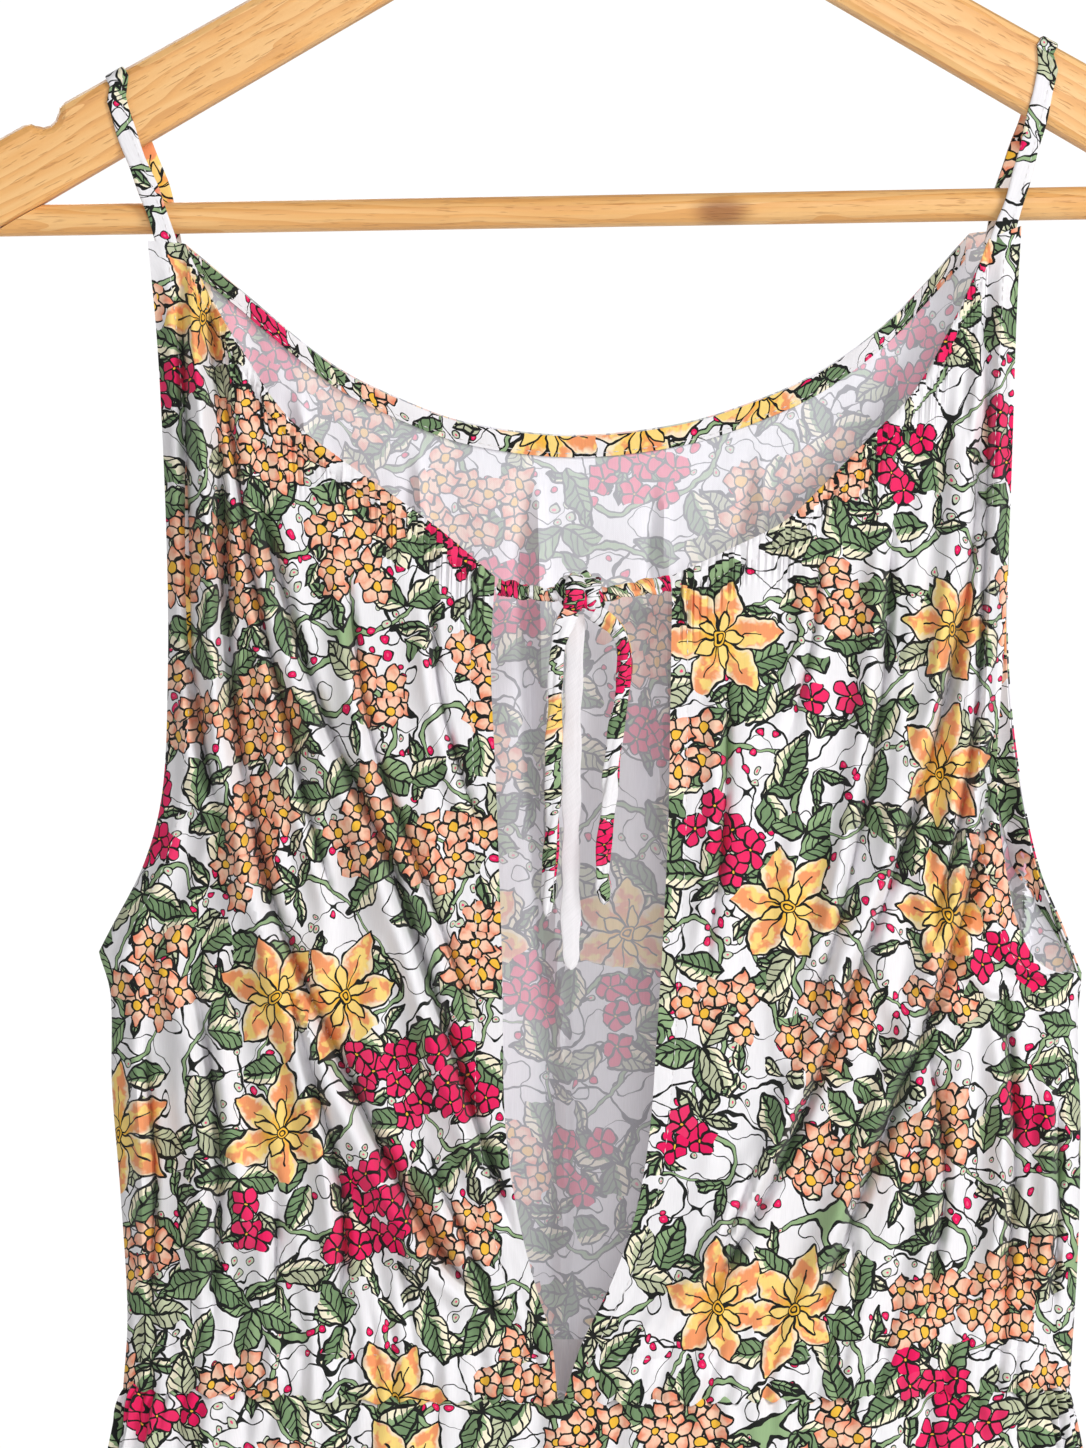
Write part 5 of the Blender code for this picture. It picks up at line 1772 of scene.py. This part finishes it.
@dataclass
class Skirt:
    """The gathered skirt's front and back."""

    grid: tuple[int, int] = (380, 56)
    half_cloth: float = 0.33
    hem: float = 14.0
    length: float = 378.0
    radius: float = 105.0
    gather_pitch: float = 7.3
    print_calm: int = 18

    def points(self, theta: Array, down: Array, facing: float) -> Array:
        """The middle of the cloth; theta is 0 at the left seam and pi at the right one.

        Args:
            theta: the way round.
            down: the share of the way down.
            facing: -1 for the front and 1 for the back.

        Returns:
            A point for each.
        """
        half, front, back, wave = ring_at(down)
        depth = front if facing < 0 else back
        x = SKIRT_CENTRE_X - half * np.cos(theta)
        y = facing * (SEAM_HALF_GAP + depth * np.sin(theta))
        out = unit(np.stack([-depth * np.cos(theta), facing * half * np.sin(theta)], axis=-1))
        turn = theta + 0.05 * np.sin(5 * theta + facing) + 0.03 * np.sin(11 * theta) * down
        phase = 2 * SKIRT_WAVES * turn + SKIRT_WAVE_DRIFT * facing * down * np.sin(2 * theta)
        calm = ease(np.sin(theta) / 0.16)
        ruffle = wave * (0.8 + 0.2 * np.sin(3 * theta + 1)) * np.sin(phase)
        along = theta * self.radius
        beat = 2 * math.pi * along / self.gather_pitch
        beat = beat + 1.8 * np.sin(along / 15.0 + facing) + 1.2 * np.sin(along / 37.0)
        drop = down * self.length
        beat_size = 1.3 + 0.6 * np.sin(along / 9.0) * np.sin(along / 4.3 + 1.0)
        fading = np.exp(-drop / (20.0 + 7.0 * np.sin(along / 11.0))) * ease(drop / 2.0 + 0.4)
        ruffle += beat_size * np.sin(beat) * fading
        ruffle += 1.4 * np.sin(math.pi * np.clip(drop / 12.0, 0, 1)) - 0.7 * (1 - ease(drop / 3.0))
        small = 2.3 * phase + 2.0 * np.sin(4 * theta + 2 * down)
        ruffle += 0.9 * np.sin(small) * ease(drop / 60.0) * (0.5 + 0.5 * np.sin(7 * theta + 3 * down))
        waist = np.interp(x, [p[0] for p in WAIST_BACK], [p[1] for p in WAIST_BACK])
        waist = waist + seam_wave(x) * ease(1 - drop / 12.0)
        z = (waist + SEAM_OVERLAP) * (1 - down) + HEM_Z * down
        lift = ruffle * calm
        return np.stack([x + out[..., 0] * lift, y + out[..., 1] * lift, z], axis=-1)

    def side(self, name: str, node: str, facing: float, thread: Stitching) -> Piece:
        """One side of the skirt.

        Args:
            name: its name.
            node: the solid that it stands for.
            facing: -1 for the front and 1 for the back.
            thread: the stitches that its hem adds to.

        Returns:
            The piece.
        """
        theta = np.linspace(0, math.pi, self.grid[0] + 1)
        down = np.linspace(0, 1, self.grid[1] + 1) ** 1.45
        tt, dd = np.meshgrid(theta, down)
        points = self.points(tt, dd, facing)
        normals = unit(np.cross(np.gradient(points, axis=1), np.gradient(points, axis=0)) * facing)
        normals[:, 0] = (-1.0, 0.0, 0.0)
        normals[:, -1] = (1.0, 0.0, 0.0)
        uv = flat_grid(points, self.grid[0] // 2, (20.0 if facing < 0 else 400.0, -640.0), self.print_calm)
        parts = MeshParts()
        parts.add_shell(points, normals, self.half_cloth, self.half_cloth, uv)
        piece = parts.build(name, [PRINT.material(), WRONG_SIDE.material()])
        row = np.full(theta.shape, 1 - self.hem / self.length)
        line = self.points(theta, row, facing)
        low = self.points(theta, row + 0.004, facing)
        way = unit(np.cross(np.gradient(line, axis=0), low - line) * facing)
        thread.add_row((line + way * 0.4)[4:-4], way[4:-4])
        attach(piece, "root")
        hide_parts(node)
        return piece

    def build(self) -> list[Piece]:
        """Makes both sides and the hem's stitches.

        Returns:
            The pieces.
        """
        thread = Stitching()
        made = [
            self.side("skirt_front_cloth", "skirt_front", -1.0, thread),
            self.side("skirt_back_cloth", "skirt_back", 1.0, thread),
        ]
        return [*made, thread.build("hem_stitches")]


@dataclass
class Straps:
    """The two stitched shoulder straps over the hanger's arms."""

    width: float = 6.8
    thickness: float = 1.15
    around: int = 14
    run_stations: int = 30
    bend_stations: int = 9

    def stations(self, front: Sequence[Row], back: Sequence[Row]) -> tuple[Array, Array, Array]:
        """The strap's middle, its way across and its outward direction along it.

        Args:
            front: the route from the front seam to the arm, as x and z.
            back: the route from the arm down to the back seam.

        Returns:
            Three arrays, a row for each station.
        """
        side = 1.0 if front[0][0] > 0 else -1.0
        top_x = front[-1][0]
        radius = HANGER_BEVEL + 0.3 + TRIM_WALL / 2
        slope = np.array([math.cos(ARM_TOP_ANGLE), 0.0, -side * math.sin(ARM_TOP_ANGLE)])
        rise = np.array([side * math.sin(ARM_TOP_ANGLE), 0.0, math.cos(ARM_TOP_ANGLE)])
        wood_top = np.array([top_x, 0.0, ARM_TOP_APEX_Z - abs(top_x) * math.tan(ARM_TOP_ANGLE)])
        rows = []
        for angle in np.linspace(0, math.pi / 2, self.bend_stations):
            y = -(HANGER_THICKNESS / 2 - HANGER_BEVEL) - radius * math.cos(angle)
            up = radius * math.sin(angle) - HANGER_BEVEL
            rows.append((y, up, angle))
        rows += [(-y, up, math.pi - angle) for y, up, angle in reversed(rows)]
        found = []
        share = np.linspace(0, 1, self.run_stations + 1)
        routes = (
            (by_length(smooth_curve(front), share[:-1]), -1.0),
            (by_length(smooth_curve(back), share[1:]), 1.0),
        )
        for route, facing in routes:
            ahead = unit(np.gradient(route, axis=0))
            for point, way in zip(route, ahead):
                across = np.array([abs(way[1]), 0.0, -way[0] * math.copysign(1.0, way[1])])
                found.append((np.array([point[0], facing * STRAP_STANDOFF, point[1]]), across, (0.0, facing, 0.0)))
        over = [
            (wood_top + rise * up + (0.0, y, 0.0), slope, rise * math.sin(angle) + (0.0, -math.cos(angle), 0.0))
            for y, up, angle in rows
        ]
        found = found[: self.run_stations] + over + found[self.run_stations :]
        return tuple(np.array([row[k] for row in found]) for k in range(3))

    def strap(
        self, name: str, node: str, front: Sequence[Row], back: Sequence[Row], shift: float, thread: Stitching,
    ) -> Piece:
        """One strap: a turned tube pressed flat, a little fuller beside its stitches.

        Args:
            name: its name.
            node: the solid that it stands for.
            front: the route from the front seam to the arm, as x and z.
            back: the route from the arm down to the back seam.
            shift: its place in the print.
            thread: the stitches that its row adds to.

        Returns:
            The piece.
        """
        middle, across, out = self.stations(front, back)
        along = lengths_along(middle)
        turn = np.linspace(0, 2 * math.pi, self.around, endpoint=False)
        wide, high = np.cos(turn), np.sin(turn)
        wide = np.sign(wide) * np.abs(wide) ** 0.75
        high = np.sign(high) * np.abs(high) ** 0.6
        swell = 1.0 + 0.05 * np.sin(along / 3.1) + 0.04 * np.sin(along / 7.7 + shift)
        dent = 1.0 - 0.28 * bell(np.abs(wide) - 0.42, 0.16)
        reach = self.width / 2 * swell[:, None] * wide[None]
        lift = self.thickness / 2 * (high * dent)[None] * (1 + 0.12 * np.sin(along / 1.9))[:, None]
        lift = np.maximum(lift, -0.55)
        rings = middle[:, None] + across[:, None] * reach[..., None] + out[:, None] * lift[..., None]
        girth = np.where(high >= 0, self.width / 2 * wide, self.width - self.width / 2 * wide)
        uv = np.stack(np.broadcast_arrays(girth[None] + shift, along[:, None] + 2.3 * shift), axis=-1)
        parts = MeshParts()
        parts.add_sweep(rings, uv)
        line = middle + across * self.width * 0.21 + out * 0.5
        thread.add_row(line, out)
        piece = parts.build(name, [PRINT.material()], sharp=80.0)
        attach(piece, "root")
        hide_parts(node)
        return piece

    def build(self) -> list[Piece]:
        """Makes both straps and their stitches.

        Returns:
            The pieces.
        """
        thread = Stitching(length=2.0, pitch=2.9, width=0.36)
        made = [
            self.strap("strap_left_cloth", "strap_left", STRAP_FRONT_LEFT, STRAP_BACK_LEFT, 31.0, thread),
            self.strap("strap_right_cloth", "strap_right", STRAP_FRONT_RIGHT, STRAP_BACK_RIGHT, 77.0, thread),
        ]
        return [*made, thread.build("strap_stitches")]


@dataclass(frozen=True)
class Roll:
    """A rolled cord of cloth: its route, width, thickness, turns along it and tapers at its two ends.

    Rope is how deep its grooves are, as a share, twist how fast they wind, in radians a millimetre, and crush how
    much cloth is pressed into its length.
    """

    route: Sequence[Row]
    width: float
    thickness: float
    turns: Pair = (0.0, 0.0)
    tapers: Pair = (0.0, 0.0)
    rope: float = 0.1
    crush: float = 1.3
    twist: float = 0.85
    step: float = 1.0
    around: int = 32

    def centre(self) -> Array:
        """Points along its middle."""
        dense = smooth_curve(self.route)
        return by_length(dense, np.linspace(0, 1, max(8, round(curve_length(dense) / self.step))))

    def add_to(self, parts: MeshParts, shift: Pair) -> None:
        """Adds its skin to a mesh, at a place in the print.

        Args:
            parts: the mesh.
            shift: the place in the print.
        """
        middle = self.centre()
        ahead = unit(np.gradient(middle, axis=0))
        across = np.cross(ahead, (0.0, 1.0, 0.0))
        weak = np.linalg.norm(across, axis=-1) < 0.25
        across[weak] = (1.0, 0.0, 0.0)
        across = unit(across - ahead * (across * ahead).sum(-1, keepdims=True))
        out = np.cross(across, ahead)
        share = np.linspace(0, 1, len(middle))
        angle = np.radians(self.turns[0] + (self.turns[1] - self.turns[0]) * ease(share))[:, None]
        wide = across * np.cos(angle) + out * np.sin(angle)
        high = out * np.cos(angle) - across * np.sin(angle)
        along = share * curve_length(middle)
        size = 1.0 + 0.09 * np.sin(along / 3.1) + 0.07 * np.sin(along / 7.7 + 1.0)
        for gap, taper in ((along, self.tapers[0]), (along[-1] - along, self.tapers[1])):
            if taper > 0:
                size = size * (0.12 + 0.88 * np.sqrt(np.clip(gap / taper, 0, 1)))
        turn = np.linspace(0, 2 * math.pi, self.around, endpoint=False)
        seam = 1.0 - 0.22 * bell(np.minimum(turn, 2 * math.pi - turn) - 0.9, 0.35)
        flat = np.stack([np.cos(turn) * self.width / 2 * seam, np.sin(turn) * self.thickness / 2 * seam], axis=-1)
        rings = wide[:, None] * flat[None, :, :1] + high[:, None] * flat[None, :, 1:]
        wind = along[:, None] * self.twist + 0.7 * np.sin(along[:, None] / 5.3)
        groove = 1.0 - self.rope * (0.5 + 0.5 * np.sin(3 * turn[None] + wind)) ** 2
        groove -= 0.35 * self.rope * (0.5 + 0.5 * np.sin(5 * turn[None] - 0.6 * wind + 1.0)) ** 2
        rings = middle[:, None] + rings * (size[:, None] * groove)[..., None]
        girth = turn / math.pi * (self.width + self.thickness) * 0.8
        way = along[:, None] * self.crush
        uv = np.stack(np.broadcast_arrays(girth[None] + 0.6 * way + shift[0], 0.8 * way + shift[1]), axis=-1)
        parts.add_sweep(rings, uv)


@dataclass
class Drawstring:
    """The neck's drawstring: two runs out of the casings, the knot and the hanging ends."""

    run_width: float = 5.6
    run_thickness: float = 4.4
    end_width: float = 6.0

    def cord(
        self, roll: Roll, name: str, node: str, shift: Pair, cloth: bpy.types.Material,
    ) -> Piece:
        """One hanging end.

        Args:
            roll: its shape.
            name: its name.
            node: the solid that it stands for.
            shift: its place in the print.
            cloth: its material.

        Returns:
            The piece.
        """
        parts = MeshParts()
        roll.add_to(parts, shift)
        piece = parts.build(name, [cloth], sharp=70.0)
        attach(piece, "root")
        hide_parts(node)
        path = roll.centre() * MM
        round(curve_length(path), 3)
        return piece

    def plain(self, rolls: Sequence[Roll], name: str, node: str, shift: Pair) -> Piece:
        """A short piece of the drawstring made of one or more rolls.

        Args:
            rolls: their shapes.
            name: its name.
            node: the solid that it stands for.
            shift: its place in the print.

        Returns:
            The piece.
        """
        parts = MeshParts()
        for index, roll in enumerate(rolls):
            roll.add_to(parts, (shift[0] + 17.0 * index, shift[1]))
        piece = parts.build(name, [PRINT.material()], sharp=70.0)
        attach(piece, "root")
        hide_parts(node)
        return piece

    def knot(self) -> Piece:
        """The knot: one turn of the cord across it, and two that wrap it.

        Returns:
            The piece.
        """
        rolls = (
            Roll(KNOT_ACROSS, 9.6, 4.8, (10.0, -10.0), (2.0, 2.0), 0.3, 2.4),
            Roll(KNOT_WRAP, 7.6, 3.2, (0.0, 14.0), (2.0, 2.0), 0.25, 2.4),
            Roll(KNOT_TUCK, 6.0, 3.0, (0.0, -16.0), (2.0, 2.0), 0.25, 2.4),
        )
        return self.plain(rolls, "drawstring_knot", "tie_knot", (12.0, 140.0))

    def build(self) -> list[Piece]:
        """Makes the runs, the knot and the ends.

        Returns:
            The pieces.
        """
        runs = [
            Roll(route, self.run_width, self.run_thickness, rope=0.34, crush=2.6)
            for route in (TIE_RUN_LEFT, TIE_RUN_RIGHT)
        ]
        left = self.plain(runs[:1], "drawstring_left", "tie_run_left", (30.0, 20.0))
        right = self.plain(runs[1:], "drawstring_right", "tie_run_right", (88.0, 25.0))
        knot = self.knot()
        ends = [
            self.cord(
                Roll(TIE_END_LEFT, self.end_width, 3.0, (6.0, -24.0), (0.0, 9.0), 0.3, 1.6, 0.1),
                "drawstring_end_left", "tie_end_left", (55.0, 60.0), PRINT.material(),
            ),
            self.cord(
                Roll(TIE_END_RIGHT, self.end_width, 3.0, (-12.0, 22.0), (0.0, 7.0), 0.34, 1.8, 0.16),
                "drawstring_end_right", "tie_end_right", (96.0, 130.0), PRINT.material(),
            ),
            self.cord(
                Roll(TIE_END_BACK, 6.4, 1.5, (0.0, 8.0), (0.0, 5.0), 0.16, 1.3, 0.0),
                "drawstring_end_white", "tie_end_back", (10.0, 10.0), WHITE_CLOTH.material(),
            ),
        ]
        return [left, right, knot, *ends]


@dataclass
class Hanger:
    """The wooden hanger's body, bar and hook, which keep their solids' shapes."""

    bar_knot: Point = (0.038, -0.0045, -0.2065)

    def build(self) -> list[Piece]:
        """Gives the three solids their finishes.

        Returns:
            The three solids.
        """
        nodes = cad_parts
        finishes = {
            "hanger_body": Lacquer("arm wood", ARM_TOP_ANGLE),
            "hanger_bar": Lacquer("bar wood", ring=0.0042, knot=self.bar_knot, figure=0.25),
            "hanger_hook": HookMetal(),
        }
        for name, finish in finishes.items():
            nodes[name].data.materials.clear()
            nodes[name].data.materials.append(finish.material())
        return [nodes[name] for name in finishes]


@dataclass
class Studio:
    """The plain floor, the soft light and the camera at the photograph's angle."""

    view_centre: Point = (-22.8, -12.0, -381.2)
    view_height: float = 492.3
    distance: float = 2600.0
    sensor: float = 36.0
    floor_z: float = -1060.0
    floor_glow: float = 0.12
    key_power: float = 46.0
    front_power: float = 18.0
    fill_power: float = 6.0
    back_power: float = 42.0

    def build(self) -> None:
        """Makes everything that isn't part of the object."""
        self.camera()
        self.floor()
        self.lamp("key light", (1.85, -1.85, 0.7), 0.9, self.key_power)
        self.lamp("front light", (0.4, -2.6, 0.3), 0.8, self.front_power)
        self.lamp("fill light", (-2.1, -1.6, 0.2), 1.4, self.fill_power)
        self.lamp("back light", (-1.0, 2.4, 0.6), 1.8, self.back_power)
        self.backdrop()

    def camera(self) -> None:
        """The camera, level and square to the dress's front."""
        lens = bpy.data.cameras.new("camera")
        lens.sensor_width = self.sensor
        lens.lens = self.sensor * self.distance / self.view_height
        lens.clip_start, lens.clip_end = 0.1, 50.0
        thing = bpy.data.objects.new("camera", lens)
        x, y, z = self.view_centre
        thing.location = (x * MM, (y - self.distance) * MM, z * MM)
        thing.rotation_euler = (math.pi / 2, 0.0, 0.0)
        bpy.context.scene.collection.objects.link(thing)
        bpy.context.scene.camera = thing

    def floor(self) -> None:
        """A pale round floor under the dress."""
        body = bmesh.new()
        bmesh.ops.create_circle(body, cap_ends=True, segments=96, radius=3.4)
        mesh = bpy.data.meshes.new("floor")
        body.to_mesh(mesh)
        body.free()
        thing = bpy.data.objects.new("floor", mesh)
        thing.location = (0.0, 0.0, self.floor_z * MM)
        made = bpy.data.materials.new("pale floor")
        made.use_nodes = True
        graph = Graph(made.node_tree)
        shader = made.node_tree.nodes["Principled BSDF"]
        place = graph.node("ShaderNodeTexCoord").outputs["Object"]
        cloud = graph.noise(place, 3.0, 3.0, False).outputs[0]
        graph.feed(shader.inputs["Base Color"], graph.mix(cloud, colour(232, 231, 230), colour(238, 238, 238)))
        shader.inputs["Roughness"].default_value = 0.8
        shader.inputs["Emission Color"].default_value = (1.0, 1.0, 1.0, 1.0)
        shader.inputs["Emission Strength"].default_value = self.floor_glow
        mesh.materials.append(made)
        bpy.context.scene.collection.objects.link(thing)

    def lamp(self, name: str, place: Point, size: float, power: float) -> None:
        """A soft square light that faces the dress.

        Args:
            name: its name.
            place: where it stands, in metres.
            size: its side in metres.
            power: its watts.
        """
        light = bpy.data.lights.new(name, "AREA")
        light.size, light.energy = size, power
        thing = bpy.data.objects.new(name, light)
        thing.location = place
        aim = np.array([0.0, 0.0, -0.4]) - np.array(place)
        tilt = math.atan2(math.hypot(aim[0], aim[1]), -aim[2])
        thing.rotation_euler = (tilt, 0.0, math.atan2(aim[1], aim[0]) - math.pi / 2)
        bpy.context.scene.collection.objects.link(thing)

    def backdrop(self) -> None:
        """White all round, a little dimmer as light than as a background."""
        world = bpy.data.worlds.new("studio")
        world.use_nodes = True
        graph = Graph(world.node_tree)
        shade = world.node_tree.nodes["Background"]
        shade.inputs["Color"].default_value = (1.0, 1.0, 1.0, 1.0)
        seen = graph.node("ShaderNodeLightPath").outputs["Is Camera Ray"]
        graph.feed(shade.inputs["Strength"], graph.fit(seen, 0.86, 0.18))
        bpy.context.scene.world = world
        bpy.context.scene.view_settings.view_transform = "Standard"


def main() -> None:
    """Builds the pieces in order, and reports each."""
    logging.basicConfig(level=logging.INFO, format="%(message)s")
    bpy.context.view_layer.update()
    Studio().build()
    bodice = Bodice()
    for assembly in (Drawstring(), Straps(), bodice, Bindings(bodice), Skirt(), Hanger()):
        for piece in assembly.build():
            LOG.info("%s: %s, %d faces", type(assembly).__name__, piece.name, len(piece.data.polygons))


if __name__ == "__main__":
    main()
